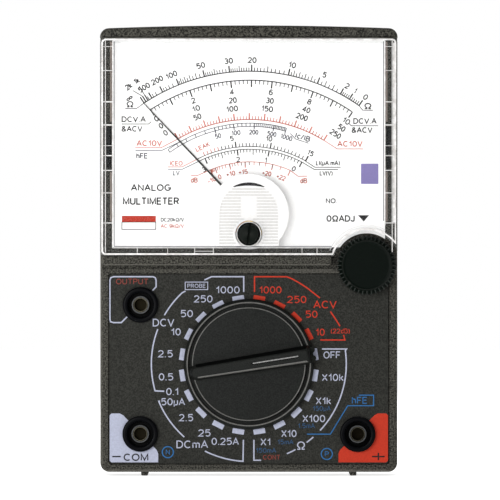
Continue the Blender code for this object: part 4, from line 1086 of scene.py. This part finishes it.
# Each letter is its width and its strokes, with a capital 100 high. A stroke runs through points
# (x, z) and elliptical arcs (centre x, centre z, radius x, radius z, start, end in degrees).
LETTERS = {
    "0": (60, [[(30, 50, 27, 50, 90, 450)]]),
    "1": (36, [[(3, 74), (18, 79), (29, 100), (29, 0)]]),
    "2": (60, [[(29, 71, 27, 29, 160, -38), (3, 0), (58, 0)]]),
    "3": (60, [[(27, 75, 25, 25, 140, -90)], [(27, 27, 29, 27, 90, -138)]]),
    "4": (62, [[(44, 0), (44, 100), (2, 28), (62, 28)]]),
    "5": (60, [[(55, 100), (11, 100), (6, 46)], [(28, 33, 29, 33, 140, -132)]]),
    "6": (60, [[(30, 31, 27, 31, 0, 360)], [(35, 50, 32, 50, 52, 200)]]),
    "7": (60, [[(3, 100), (57, 100), (22, 0)]]),
    "8": (60, [[(30, 76, 22, 24, 0, 360)], [(30, 26, 27, 26, 0, 360)]]),
    "9": (60, [[(30, 69, 27, 31, 0, 360)], [(25, 50, 32, 50, 232, 380)]]),
    "A": (66, [[(0, 0), (33, 100), (66, 0)], [(12, 34), (54, 34)]]),
    "B": (60, [[(4, 0), (4, 100), (30, 77, 22, 23, 90, -90), (4, 54)],
                 [(4, 54), (30, 27, 27, 27, 90, -90), (4, 0)]]),
    "C": (68, [[(37, 50, 34, 50, 48, 312)]]),
    "D": (64, [[(4, 0), (4, 100), (27, 50, 36, 50, 90, -90), (4, 0)]]),
    "E": (56, [[(53, 100), (4, 100), (4, 0), (55, 0)], [(4, 52), (49, 52)]]),
    "F": (54, [[(53, 100), (4, 100), (4, 0)], [(4, 50), (46, 50)]]),
    "G": (72, [[(37, 50, 34, 50, 50, 335), (69, 45), (42, 45)]]),
    "I": (12, [[(6, 0), (6, 100)]]),
    "J": (46, [[(42, 100), (22, 26, 20, 26, 0, -175)]]),
    "K": (60, [[(4, 0), (4, 100)], [(57, 100), (4, 36)], [(22, 56), (59, 0)]]),
    "L": (50, [[(4, 100), (4, 0), (50, 0)]]),
    "M": (76, [[(4, 0), (4, 100), (38, 6), (72, 100), (72, 0)]]),
    "N": (64, [[(4, 0), (4, 100), (60, 0), (60, 100)]]),
    "O": (76, [[(38, 50, 35, 50, 90, 450)]]),
    "P": (58, [[(4, 0), (4, 100), (31, 74, 25, 26, 90, -90), (4, 48)]]),
    "R": (62, [[(4, 0), (4, 100), (31, 75, 25, 25, 90, -90), (4, 50)], [(33, 50), (58, 0)]]),
    "T": (60, [[(1, 100), (59, 100)], [(30, 100), (30, 0)]]),
    "U": (64, [[(4, 100), (32, 29, 28, 29, 180, 360), (60, 100)]]),
    "V": (62, [[(0, 100), (31, 0), (62, 100)]]),
    "X": (60, [[(2, 0), (58, 100)], [(2, 100), (58, 0)]]),
    "Ω": (78, [[(2, 0), (27, 0), (39, 58, 34, 42, 248, -68), (51, 0), (76, 0)]]),
    "c": (46, [[(26, 35, 22, 35, 48, 312)]]),
    "d": (50, [[(46, 0), (46, 100)], [(25, 35, 21, 35, 0, 360)]]),
    "h": (48, [[(4, 0), (4, 100)], [(24, 48, 20, 22, 180, 0), (44, 0)]]),
    "k": (48, [[(4, 0), (4, 100)], [(44, 70), (4, 28)], [(17, 42), (47, 0)]]),
    "m": (74, [[(4, 0), (4, 72)], [(21, 50, 17, 20, 180, 0), (38, 0)],
                 [(54, 50, 16, 20, 180, 0), (70, 0)]]),
    "µ": (48, [[(4, 72), (4, -25)], [(24, 22, 20, 22, 180, 360), (44, 72)]]),
    "&": (66, [[(64, 0), (15, 72), (30, 82, 15, 17, 200, -30), (10, 38),
                  (27, 22, 21, 22, 150, 330), (60, 44)]]),
    "∞": (84, [[(23, 42, 19, 20, 0, 360)], [(61, 42, 19, 20, 0, 360)]]),
    ".": (12, [[(6, -6), (6, 7)]]),
    "/": (30, [[(0, -5), (30, 105)]]),
    "+": (52, [[(1, 42), (51, 42)], [(26, 17), (26, 67)]]),
    "-": (36, [[(2, 42), (34, 42)]]),
    "(": (24, [[(40, 42, 34, 66, 125, 235)]]),
    ")": (24, [[(-16, 42, 34, 66, -55, 55)]]),
    " ": (22, []),
}


def stroke_points(stroke):
    """Points of one stroke over capital height, with its arcs worked out."""
    points = []
    for item in stroke:
        x, z, *reach = [value / 100 for value in item[:4]]
        if not reach:
            points.append((x, z))
            continue
        start, end = item[4:]
        steps = max(4, round(abs(end - start) / 24))
        for i in range(steps + 1):
            a = math.radians(start + (end - start) * i / steps)
            points.append((x + reach[0] * math.cos(a), z + reach[1] * math.sin(a)))
    return points


def write(bm, text, x, z, cap, y, width=None, angle=0.0, pen=PEN):
    """Letter a text centred on x, z, as a thin layer at y, of a given capital height and width."""
    total = sum(LETTERS[letter][0] for letter in text) / 100 + LETTER_GAP * (len(text) - 1)
    stretch = (width - pen * cap) / total if width else cap
    turn = math.radians(angle)
    start = -stretch * total / 2
    for letter in text:
        advance, strokes = LETTERS[letter]
        for stroke in strokes:
            path = []
            for across, up in stroke_points(stroke):
                a = start + across * stretch
                b = (up * (1 - pen) + pen / 2 - 0.5) * cap
                path.append((x + a * math.cos(turn) - b * math.sin(turn),
                             z + a * math.sin(turn) + b * math.cos(turn)))
            closed = (Vector(path[0]) - Vector(path[-1])).length < 1e-6
            ribbon(bm, path[:-1] if closed else path, pen * cap, y - INK / 2, closed=closed)
        start += (advance / 100 + LETTER_GAP) * stretch


def ribbon(bm, points, width, y, depth=INK, closed=False):
    """Line of constant width through the points, with mitred corners."""
    flat = [Vector(p) for p in points]
    count = len(flat)
    rings = []
    for i, point in enumerate(flat):
        before = (point - flat[i - 1]).normalized() if i or closed else (flat[1] - point).normalized()
        after = (flat[(i + 1) % count] - point).normalized() if i + 1 < count or closed else before
        across = Vector((-(before + after).y, (before + after).x))
        across = across.normalized() if across.length > 1e-6 else Vector((-before.y, before.x))
        reach = across * width / 2 / max(abs(across.dot(Vector((-before.y, before.x)))), 0.45)
        left, right = point + reach, point - reach
        corners = ((left, y), (right, y), (right, y + depth), (left, y + depth))
        rings.append([bm.verts.new((corner.x, at, corner.y)) for corner, at in corners])
    join(bm, rings + rings[:1] if closed else rings, ends=not closed)


def words(bm, y, rows, pen=PEN):
    """Words on one layer, each given as text, x, z, capital height, width and perhaps an angle."""
    for text, x, z, cap, width, *angle in rows:
        write(bm, text, x, z, cap, y, width, *angle, pen=pen)


def patch(bm, outline, y):
    extrude(bm, outline, y, y + INK)


def sheet_of(name, bm, material, body="housing"):
    return dress(to_object(name, bm), material, body, smooth=20)


# ---------------------------------------------------------------- dial

ARC_CENTRE = Vector((0.3, 0, 71.3))      # the scale arcs share this centre, below the needle's pivot
PRINT_SHIFT = 0.2                        # the printed scales sit slightly right of the pivot
SWEEP_START, SWEEP_END = -43.5, 45.3     # needle angle from upright at zero and at full scale
OHM_ARC, VOLT_ARC, AC_ARC = 63.6, 60.6, 47.5
GAIN_ARC, CURRENT_ARC, CELL_ARC, DECIBEL_ARC = 46.3, 38.5, 37.6, 33.4
DIAL_INK = DIAL_FRONT - INK - 0.01
DIAL_TEXT = DIAL_INK + INK / 2
HAIR, FINE, MEDIUM, BOLD = 0.26, 0.29, 0.36, 0.46     # line widths of the dial
DIAL_PEN = 0.185                         # stroke width over capital height on the dial


def on_arc(fraction, radius):
    """Angle, about the arcs' centre, where the needle crosses a scale at a share of its sweep."""
    lean = math.radians(SWEEP_START + (SWEEP_END - SWEEP_START) * fraction)
    aside = NEEDLE.x + PRINT_SHIFT - ARC_CENTRE.x
    rise = NEEDLE.z - ARC_CENTRE.z
    start = aside * math.sin(lean) + rise * math.cos(lean)
    along = -start + math.sqrt(start ** 2 - aside ** 2 - rise ** 2 + radius ** 2)
    return 90 - math.degrees(math.atan2(aside + along * math.sin(lean), rise + along * math.cos(lean)))


def tick(bm, angle, start, end, width):
    ribbon(bm, [polar(ARC_CENTRE, start, angle), polar(ARC_CENTRE, end, angle)], width, DIAL_INK)


def scale_line(bm, radius, start, end, width=MEDIUM):
    points = [polar(ARC_CENTRE, radius, start + (end - start) * i / 72) for i in range(73)]
    ribbon(bm, points, width, DIAL_INK)


def on_dial(bm, text, lean, radius, cap, width=None):
    """Text on a scale, leaning clockwise from upright by the given angle."""
    x, z = polar(ARC_CENTRE, radius, 90 - lean)
    write(bm, text, x, z, cap, DIAL_TEXT, width, -lean, DIAL_PEN)


def ticks(bm, radius, at, numbers, every, long, short):
    """Ticks at numbered places, longer and bolder at multiples of every. Lengths below 0 go inwards."""
    for i in numbers:
        major = i % every == 0
        tick(bm, at(i), radius, radius + (long if major else short), BOLD if major else FINE)


def figures(bm, radius, cap, labels, letter_width=None):
    """Figures of one size round a scale, each given as text and lean."""
    for text, lean in labels:
        width = letter_width * len(text) + 0.2 if letter_width else None
        on_dial(bm, text, lean, radius, cap, width)


def ohm_scale(bm):
    """Resistance scale, crowding to the left: deflection is 20 / (20 + R)."""
    def at(ohms):
        return on_arc(20 / (20 + ohms), OHM_ARC)

    scale_line(bm, OHM_ARC, on_arc(0, OHM_ARC), on_arc(1, OHM_ARC))
    # Each band is its first and last value, the step between ticks, and how many steps to a long one.
    bands = ((0, 2, 0.2, 5), (2, 5, 0.5, 2), (5, 10, 0.5, 2), (10, 20, 1, 5), (20, 30, 1, 5),
             (30, 50, 2, 5), (50, 100, 5, 2), (100, 200, 20, 5), (200, 500, 100, 3), (500, 1000, 250, 2))
    for low, high, step, every in bands:
        for i in range(round((high - low) / step)):
            length = 1.9 if i % every == 0 else 1.25
            tick(bm, at(low + i * step), OHM_ARC, OHM_ARC + length, FINE)
    for value in (0, 1, 2, 5, 10, 20, 30, 50, 100, 200, 500, 1000, 2000):
        tick(bm, at(value), OHM_ARC, OHM_ARC + 2.2, BOLD)
    tick(bm, on_arc(0, OHM_ARC), OHM_ARC, OHM_ARC + 2.4, BOLD)
    labels = (("0", 35.1, 67.2, 1.6), ("1", 31.7, 67.1, 0.9), ("2", 29.0, 67.1, 1.5),
              ("5", 21.8, 67.2, 1.5), ("10", 12.2, 67.2, 2.7), ("20", 0.7, 67.3, 3.1),
              ("30", -6.0, 67.4, 3.1), ("50", -14.0, 67.5, 3.1), ("100", -22.7, 67.6, 4.1),
              ("200", -27.0, 68.0, 4.3), ("500", -31.2, 68.0, 4.3), ("1k", -32.0, 71.2, 2.0),
              ("2k", -34.6, 71.1, 2.3))
    for text, lean, radius, width in labels:
        on_dial(bm, text, lean, radius, 2.0, width)
    on_dial(bm, "∞", -36.3, 67.8, 1.9, 2.6)
    for value, lean in ((1000, -32.2), (2000, -34.3)):
        start = polar(ARC_CENTRE, OHM_ARC + 2.2, at(value))
        ribbon(bm, [start, polar(ARC_CENTRE, OHM_ARC + 5.6, 90 - lean)], HAIR, DIAL_INK)


def volt_scale(bm):
    """Linear voltage and current scale of fifty divisions with three rows of figures."""
    scale_line(bm, VOLT_ARC, on_arc(0, VOLT_ARC), on_arc(1, VOLT_ARC))
    ticks(bm, VOLT_ARC, lambda i: on_arc(i / 50, VOLT_ARC), range(51), 5, -2.3, -1.3)
    for step in range(6):
        for row, unit in enumerate((2, 10, 50)):
            lean = 90 - on_arc(step / 5, VOLT_ARC) - (0.6 if row == 2 and step else 0)
            text = str(step * unit)
            on_dial(bm, text, lean, VOLT_ARC - 3.6 - row * 2.8, 2.0, 1.3 * len(text) + 0.2)


def alternating_scale(bm):
    """Ten-volt alternating scale, slightly closed up at its low end."""
    def at(volts):
        share = volts / 10
        return on_arc(share - 0.022 * math.sin(math.pi * share) * (1 - share), AC_ARC)

    scale_line(bm, AC_ARC, at(0), at(10))
    ticks(bm, AC_ARC, lambda i: at(i / 5), range(51), 5, 2.2, 1.2)


def gain_scale(bm):
    """Transistor gain ladder between two fine lines, its steps closing up to the right."""
    low = GAIN_ARC - 1.1
    # Each band is the lean of its two ends and its number of steps.
    bands = ((-36.0, -14.7, 5), (-14.7, -6.7, 5), (-6.7, 1.9, 5), (1.9, 10.1, 10), (10.1, 15.3, 8))
    for radius in (GAIN_ARC, low):
        scale_line(bm, radius, 126.0, 74.7, HAIR)
    for start, end, steps in bands:
        for i in range(steps):
            tick(bm, 90 - start - (end - start) * i / steps, low, GAIN_ARC, FINE)
        tick(bm, 90 - end, low - 0.9, GAIN_ARC, MEDIUM)
    figures(bm, GAIN_ARC - 3.0, 1.7,
            (("50", -14.1), ("100", -6.1), ("200", 1.8), ("500", 9.8), ("1000", 16.4)), 1.0)


def load_current(share):
    return on_arc(0.035 + 0.98 * share, CURRENT_ARC)


def load_scales(bm):
    """Load-current scale above its arc and load-voltage scale below the next one."""
    def volts(share):
        return on_arc(0.055 + 0.945 * share, CELL_ARC)

    scale_line(bm, CURRENT_ARC, on_arc(0, CURRENT_ARC), load_current(1), HAIR)
    ticks(bm, CURRENT_ARC, lambda i: load_current(i / 30), range(6, 31), 10, 1.9, 1.2)
    figures(bm, CURRENT_ARC + 3.1, 1.8, (("5", -8.3), ("10", 8.9), ("15", 29.2)))
    scale_line(bm, CELL_ARC, on_arc(0, CELL_ARC), volts(1), HAIR)
    for i in range(31):
        length = 1.9 if i % 5 == 0 else 1.1
        tick(bm, volts(i / 30), CELL_ARC, CELL_ARC - length, BOLD if i % 10 == 0 else FINE)
    figures(bm, CELL_ARC - 3.2, 1.8, (("3", -26.4), ("2", -6.4), ("1", 9.0), ("0", 25.3)))


def decibel_scale(bm):
    """Decibel scale: 0 dB is 0.775 V on the ten-volt range."""
    def at(level):
        return on_arc(0.0775 * 10 ** (level / 20), DECIBEL_ARC)

    scale_line(bm, DECIBEL_ARC, on_arc(0, DECIBEL_ARC), at(22), HAIR)
    for level in list(range(-8, 22, 2)) + list(range(11, 22)):
        tick(bm, at(level), DECIBEL_ARC, DECIBEL_ARC - 1.1, HAIR)
    for level in (-10, 0, 10, 15, 20, 22):
        tick(bm, at(level), DECIBEL_ARC, DECIBEL_ARC - 1.9, MEDIUM)
    labels = (("-10", -24.8), ("0", -19.4), ("+10", -12.2), ("+15", -4.2), ("+20", 10.9), ("+22", 20.3))
    figures(bm, DECIBEL_ARC - 3.3, 1.7, labels, 1.0)


def leader(bm, arc_radius, share, knee, end):
    """Line from the end of a scale out to its name."""
    ribbon(bm, [polar(ARC_CENTRE, arc_radius, on_arc(share, arc_radius)), knee, end], HAIR, DIAL_INK)


def print_black():
    """Main scales, the names beside them and the words of the dial."""
    bm = bmesh.new()
    ohm_scale(bm)
    volt_scale(bm)
    load_scales(bm)
    words(bm, DIAL_TEXT, (
        ("Ω", -39.6, 123.9, 2.1, 2.6), ("Ω", 39.7, 123.3, 2.1, 2.6), ("DCV.A", -38.4, 118.9, 1.95, 8.2),
        ("&ACV", -39.0, 115.7, 1.95, 7.1), ("DCV.A", 38.7, 118.3, 1.95, 7.9),
        ("&ACV", 37.7, 115.3, 1.95, 7.1), ("ANALOG", -32.6, 96.1, 2.3, 13.5),
        ("MULTIMETER", -32.6, 91.6, 2.5, 19.0), ("DC20kΩ/V", -25.5, 85.4, 1.3, 7.8),
        ("NO.", 27.6, 91.7, 1.7, 4.0), ("0ΩADJ", 30.6, 85.8, 2.2, 9.6),
        ("LI(µA.mA)", 26.4, 104.3, 1.6, 8.2), ("LV(V)", 25.8, 100.9, 1.6, 4.5)), DIAL_PEN)
    leader(bm, OHM_ARC, 0, (-37.4, 122.5), (-41.2, 122.5))
    leader(bm, OHM_ARC, 1, (38.0, 121.9), (41.4, 121.9))
    leader(bm, CURRENT_ARC, 1, (22.0, 102.9), (30.6, 102.9))
    leader(bm, CELL_ARC, 1, (21.9, 102.1), (29.8, 102.1))
    ribbon(bm, [(-42.4, 117.3), (-33.4, 117.3), (-32.5, 118.1)], HAIR, DIAL_INK)
    ribbon(bm, [(43.2, 116.7), (34.2, 116.7), (33.3, 117.5)], HAIR, DIAL_INK)
    patch(bm, [(36.4, 86.9), (38.3, 84.8), (40.1, 86.9)], DIAL_INK)
    outline = [(-42.3, 82.2), (-31.0, 82.2), (-31.0, 84.6), (-42.3, 84.6)]
    ribbon(bm, outline, HAIR, DIAL_INK, closed=True)
    sheet_of("dial_print_black", bm, "ink_black")


def print_grey():
    """Transistor gain ladder, its names, and grey lines along the dial's sides and bottom that are painted
    shadow of the window's edge.
    """
    bm = bmesh.new()
    gain_scale(bm)
    words(bm, DIAL_TEXT, (("hFE", -35.6, 106.7, 1.9, 4.0), ("LV", -24.2, 101.0, 1.7, 2.4),
                          ("Ic/IB", 18.0, 112.9, 1.9, 5.3, -18)), DIAL_PEN)
    ribbon(bm, [(13.8, 114.2), (15.6, 112.3), (19.9, 110.9)], HAIR, DIAL_INK)
    leader(bm, GAIN_ARC, 0, (-29.0, 108.5), (-37.8, 108.5))
    leader(bm, CELL_ARC, 0, (-22.2, 102.2), (-27.0, 102.2))
    # Grey lines along the dial's sides and bottom: painted shadow of the window's edge.
    for x, foot in ((-44.9, 76.5), (44.9, 85.0)):
        ribbon(bm, [(x, foot), (x, 144.9)], 0.26, DIAL_INK)
    ribbon(bm, [(-44.9, 76.5), (27.6, 76.5)], 0.22, DIAL_INK)
    sheet_of("dial_print_grey_and_shadow", bm, "ink_grey_and_edge_shadow")


def print_red():
    """Alternating and decibel scales and the names beside them."""
    bm = bmesh.new()
    alternating_scale(bm)
    decibel_scale(bm)
    words(bm, DIAL_TEXT, (
        ("AC10V", -33.2, 110.9, 2.0, 8.6), ("AC10V", 33.7, 110.7, 2.0, 8.5),
        ("LEAK", -15.4, 109.7, 1.6, 5.1, 25), ("ICEO", -24.2, 104.2, 1.6, 4.4),
        ("dB", -18.2, 98.6, 1.8, 2.5), ("dB", 18.3, 98.4, 1.8, 2.5),
        ("AC 9kΩ/V", -25.5, 83.3, 1.3, 7.8)), DIAL_PEN)
    leader(bm, AC_ARC, 0, (-29.2, 109.4), (-37.9, 109.4))
    leader(bm, AC_ARC, 1, (29.5, 109.0), (38.2, 109.0))
    leader(bm, CURRENT_ARC, 0, (-22.3, 103.0), (-27.0, 103.0))
    leader(bm, DECIBEL_ARC, 0, (-17.2, 100.1), (-19.4, 100.1))
    leader(bm, DECIBEL_ARC, 0.976, (16.4, 99.9), (19.4, 99.9))
    for i in range(1, 6):
        tick(bm, load_current(i / 30), CURRENT_ARC, CURRENT_ARC + 1.3, FINE)
    sheet_of("dial_print_red", bm, "ink_soft_red")


def dial_print():
    """All printing on the dial, one layer for each ink, with painted shadow lines in the grey layer."""
    print_black()
    print_grey()
    print_red()
    bar = bmesh.new()
    patch(bar, [(-42.3, 84.7), (-31.0, 84.7), (-31.0, 86.7), (-42.3, 86.7)], DIAL_INK)
    sheet_of("dial_red_bar", bar, "ink_red")
    badge = bmesh.new()
    patch(badge, rounded(37.4, 43.2, 97.3, 104.1, 0.3, 3), DIAL_INK)
    sheet_of("dial_badge", badge, "ink_lilac")


# ---------------------------------------------------------------- panel

PANEL_INK = LABEL_FRONT - INK - 0.01
PANEL_TEXT = PANEL_INK + INK / 2
LINE = 0.44                  # width of the lines that bracket the ranges
MARKS = KNOB + Vector((0, 0, -0.3))      # the printed ring of blocks sits a little below the knob

# Words and figures of each ink, as text, x, z, capital height and width.
PANEL_WORDS = {
    "white": (("1000", -7.0, 62.0, 2.4, 8.1), ("250", -15.2, 59.0, 2.4, 6.4),
              ("50", -20.7, 54.1, 2.4, 4.3), ("10", -24.3, 48.0, 2.4, 3.4),
              ("2.5", -27.8, 40.7, 2.4, 5.1), ("0.5", -27.6, 33.0, 2.4, 5.0),
              ("0.1", -25.5, 28.1, 2.4, 4.3), ("50µA", -25.3, 24.7, 2.4, 8.1),
              ("2.5", -20.9, 19.4, 2.4, 4.9), ("25", -14.8, 14.3, 2.4, 4.3),
              ("0.25A", -7.9, 11.5, 2.4, 9.2), ("OFF", 27.7, 40.3, 2.4, 5.8),
              ("X10k", 28.0, 32.8, 2.4, 7.3), ("X1k", 24.9, 25.0, 2.4, 5.2),
              ("X100", 21.7, 19.1, 2.4, 7.7), ("X10", 13.4, 14.1, 2.4, 5.2),
              ("X1", 5.6, 11.3, 2.4, 3.5), ("DCV", -28.5, 51.1, 2.6, 7.3),
              ("DCmA", -18.9, 10.5, 2.6, 10.7), ("Ω", 17.4, 10.1, 2.8, 3.0),
              ("PROBE", -17.45, 63.35, 1.35, 6.2)),
    "red": (("1000", 7.2, 62.0, 2.4, 7.6), ("250", 16.0, 58.8, 2.4, 6.6), ("50", 20.9, 53.9, 2.4, 4.2),
            ("10", 23.8, 47.9, 2.4, 3.2), ("ACV", 25.4, 57.1, 2.6, 7.8), ("(22dB)", 30.5, 48.3, 1.6, 6.5)),
    "dull_red": (("OUTPUT", -38.9, 64.8, 1.9, 10.9), ("CONT", 7.6, 6.2, 1.6, 5.8)),
    "dull_blue": (("150µA", 24.3, 22.5, 1.6, 6.1), ("1.5mA", 19.2, 16.7, 1.6, 5.7),
                  ("15mA", 12.2, 11.3, 1.6, 5.4), ("150mA", 5.7, 8.5, 1.6, 6.8)),
    "blue": (("hFE", 36.9, 25.2, 2.3, 5.3),),
}


def knob_arc(start, end, radius=32.5, steps=20):
    return arc(KNOB.x, KNOB.z, radius, start, end, steps)


# Lines that bracket the ranges and frame the sockets.
WHITE_LINES = (
    [(-1.7, 61.3), (-1.7, 66.4), (-12.4, 66.4), (-14.8, 65.3)],
    [(-21.1, 61.6)] + knob_arc(132, 150)[1:],
    knob_arc(159, 196) + [(-28.2, 28.2)],
    [(-29.6, 24.9)] + knob_arc(202.5, 228.5),
    knob_arc(243.2, 266.6) + [(-1.8, 12.0)],
    [(24.4, 42.3), (32.6, 42.3)] + knob_arc(8, -43),
    knob_arc(-48.6, -53.6, steps=4),
    knob_arc(-61.4, -67, steps=4),
    [(1.7, 12.0), (1.7, 5.2), (4.1, 5.2)],
    [(-32.1, 61.8), (-30.9, 63.0), (-30.9, 65.2), (-31.2, 66.1), (-32.0, 66.4), (-45.0, 66.4),
     (-46.0, 66.1), (-46.3, 65.2), (-46.3, 52.2), (-46.1, 51.4), (-45.2, 51.1), (-42.5, 51.1),
     (-40.5, 53.1)])
RED_LINES = (
    [(1.9, 61.3), (1.9, 66.4), (12.6, 66.4), (14.2, 65.8), (16.4, 64.6), (19.4, 62.7), (23.7, 59.3)],
    [(27.2, 54.8), (28.9, 52.3), (30.4, 49.9)],
    [(31.6, 47.0), (32.0, 45.3), (23.8, 45.3)])
BLUE_LINE = [(36.7, 26.9), (41.6, 26.9), (41.6, 23.4), (33.0, 23.4), (27.2, 13.9), (19.4, 13.9)]
PROBE_BOX = [(-21.2, 62.1), (-13.7, 62.1), (-13.7, 64.6), (-21.2, 64.6)]
MINUS_SIGN = [(-45.5, 6.2), (-42.7, 6.2), (-42.7, 6.65), (-45.5, 6.65)]
PLUS_SIGN = [(41.1, 6.2), (42.95, 6.2), (42.95, 5.2), (43.45, 5.2), (43.45, 6.2), (45.3, 6.2),
             (45.3, 6.65), (43.45, 6.65), (43.45, 7.7), (42.95, 7.7), (42.95, 6.65), (41.1, 6.65)]


def range_marks(white, red):
    """Twenty blocks round the knob, one for each switch position."""
    outline = rounded(MARKS.x + 21.6, MARKS.x + 23.3, MARKS.z - 1.95, MARKS.z + 1.95, 0.15, 2)
    for i in range(20):
        bm = red if 1 <= i <= 4 else white
        mark = extrude(bm, outline, PANEL_INK, PANEL_INK + INK)
        spin_front(mark, KNOB_REST + 18 * i, MARKS)


def ring_letter(bm, text, x, z):
    ribbon(bm, circle(x, z, 1.85, 32), 0.36, PANEL_INK, closed=True)
    write(bm, text, x, z, 1.7, PANEL_TEXT, 1.5)


def label_plate():
    """Thin printed plate in the recess, cut away round the knobs and sockets."""
    bm = bmesh.new()
    stack(bm, [(LABEL_FRONT, rounded(-46.5, 46.5, 4.1, 67.2, 0.9)),
               (LABEL_FRONT + 0.1, rounded(-46.6, 46.6, 4.0, 67.3, 1.0)),
               (LABEL_HIGH.y, rounded(-46.6, 46.6, 4.0, 67.3, 1.0))])
    plate = to_object("label_plate", bm)
    bm = bmesh.new()
    disc(bm, KNOB.x, KNOB.z, 4.8, LABEL_FRONT - 1, LABEL_FRONT + 2)
    disc(bm, ADJUST.x, ADJUST.z, 4.6, LABEL_FRONT - 1, LABEL_FRONT + 2)
    for at in JACKS.values():
        disc(bm, at.x, at.z, COLLAR_HOLE, LABEL_FRONT - 1, LABEL_FRONT + 2)
    carve(plate, bm)
    dress(plate, "panel", "housing", ["panel_label"])


def corner_patch(side, jack, material):
    """Coloured corner field behind a socket."""
    foot = 30.2 if side < 0 else 29.9
    bm = bmesh.new()
    patch(bm, [(side * 45.8, 4.5), (side * foot, 4.5), (side * foot, 7.4), (side * (foot + 0.5), 8.6),
               (side * 41.9, 20.2), (side * 43.0, 20.8), (side * 45.8, 20.8), (side * 46.4, 20.2),
               (side * 46.4, 5.1)], PANEL_INK)
    field = to_object("corner_field_" + jack, bm)
    bm = bmesh.new()
    disc(bm, JACKS[jack].x, JACKS[jack].z, COLLAR_HOLE, PANEL_INK - 1, PANEL_INK + 1)
    carve(field, bm)
    dress(field, material, "housing", smooth=20)


def panel_print():
    """All printing on the panel, one layer for each ink."""
    inks = {ink: bmesh.new() for ink in (*PANEL_WORDS, "black")}
    range_marks(inks["white"], inks["red"])
    for ink, rows in PANEL_WORDS.items():
        words(inks[ink], PANEL_TEXT, rows)
    ring_letter(inks["blue"], "N", -27.0, 7.9)
    ring_letter(inks["blue"], "P", 26.0, 7.3)
    for ink, lines in (("white", WHITE_LINES), ("red", RED_LINES)):
        for points in lines:
            ribbon(inks[ink], points, LINE, PANEL_INK)
    ribbon(inks["blue"], BLUE_LINE, 0.34, PANEL_INK)
    ribbon(inks["white"], PROBE_BOX, 0.26, PANEL_INK, closed=True)

    over = PANEL_INK - INK
    write(inks["black"], "COM", -37.6, 6.2, 2.5, over, 8.5, pen=0.17)
    for sign in (MINUS_SIGN, PLUS_SIGN):
        patch(inks["black"], sign, over - INK / 2)
    corner_patch(-1, "common", "ink_white")
    corner_patch(1, "positive", "ink_red")
    for ink, bm in inks.items():
        sheet_of("panel_print_" + ink, bm, "ink_" + ink)


# ---------------------------------------------------------------- studio

def backdrop():
    """Plain white surroundings that light the meter more softly than they look."""
    world = bpy.data.worlds.new("studio")
    world.use_nodes = True
    tree = world.node_tree
    ground = tree.nodes["Background"]
    ground.inputs["Color"].default_value = (1, 1, 1, 1)
    seen = tree.nodes.new("ShaderNodeLightPath")
    level = tree.nodes.new("ShaderNodeMapRange")
    level.inputs["To Min"].default_value = 0.33
    level.inputs["To Max"].default_value = 1.0
    tree.links.new(seen.outputs["Is Camera Ray"], level.inputs["Value"])
    tree.links.new(level.outputs["Result"], ground.inputs["Strength"])
    bpy.context.scene.world = world
    bpy.context.scene.view_settings.view_transform = "Standard"


def studio_floor():
    """Pale floor, kept bright so that the shadow under the meter stays faint."""
    bm = bmesh.new()
    extrude(bm, circle(0, 0, 3000, 96), -12, 0, "Z")
    floor = to_object("floor", bm)
    look = Look("floor_pale", (0.93, 0.93, 0.93), 0.9, Emission_Strength=0.72)
    look.set("Emission Color", (1, 1, 1, 1))
    tint = look.ramp(look.noise(3.0), [(0.3, (0.92, 0.92, 0.92)), (0.7, (0.94, 0.94, 0.94))])
    look.feed(tint, "Base Color")
    floor.data.materials.append(look.material)


# Place, size and power of each lamp.
LAMPS = {
    "key": ((-0.18, -0.37, 0.05), 0.26, 1.10),
    "front": ((-0.45, -1.3, 0.2), 0.5, 3.9),
    "top": ((0.1, -0.1, 1.2), 0.6, 2.4),
    "back": ((-0.3, 1.0, 0.7), 0.8, 5.0),
}


def studio_lamps():
    """Soft light aimed at the front of the meter, the strongest of it from the lower left."""
    target = Vector((0, FACE * MM, 0.075))
    for name, (place, size, power) in LAMPS.items():
        light = bpy.data.lights.new(name, "AREA")
        light.size = size
        light.energy = power
        lamp = bpy.data.objects.new(name, light)
        lamp.location = place
        lamp.rotation_euler = (target - lamp.location).to_track_quat("-Z", "Y").to_euler()
        bpy.context.scene.collection.objects.link(lamp)


def studio_camera():
    """Long lens square to the front."""
    distance = 2.4
    picture = 0.16667                    # height and width of what the camera sees, in metres
    camera = bpy.data.objects.new("camera", bpy.data.cameras.new("camera"))
    camera.data.sensor_width = 36.0
    camera.data.lens = camera.data.sensor_width * distance / picture
    camera.data.clip_end = 50.0
    camera.location = (0.0004, FACE * MM - distance, 0.0753)
    camera.rotation_euler = (math.radians(90), 0, 0)
    bpy.context.scene.collection.objects.link(camera)
    bpy.context.scene.camera = camera


backdrop()
studio_floor()
studio_lamps()
studio_camera()
dress_kept_nodes()
front_shell()
rear_shell()
parting_lip()
window_cover()
window_rib_highlights()
window_steps()
ribbed_cover()
cover_details()
trim_screw()
range_knob()
adjust_knob()
adjust_crests()
sockets()
dial_print()
label_plate()
panel_print()
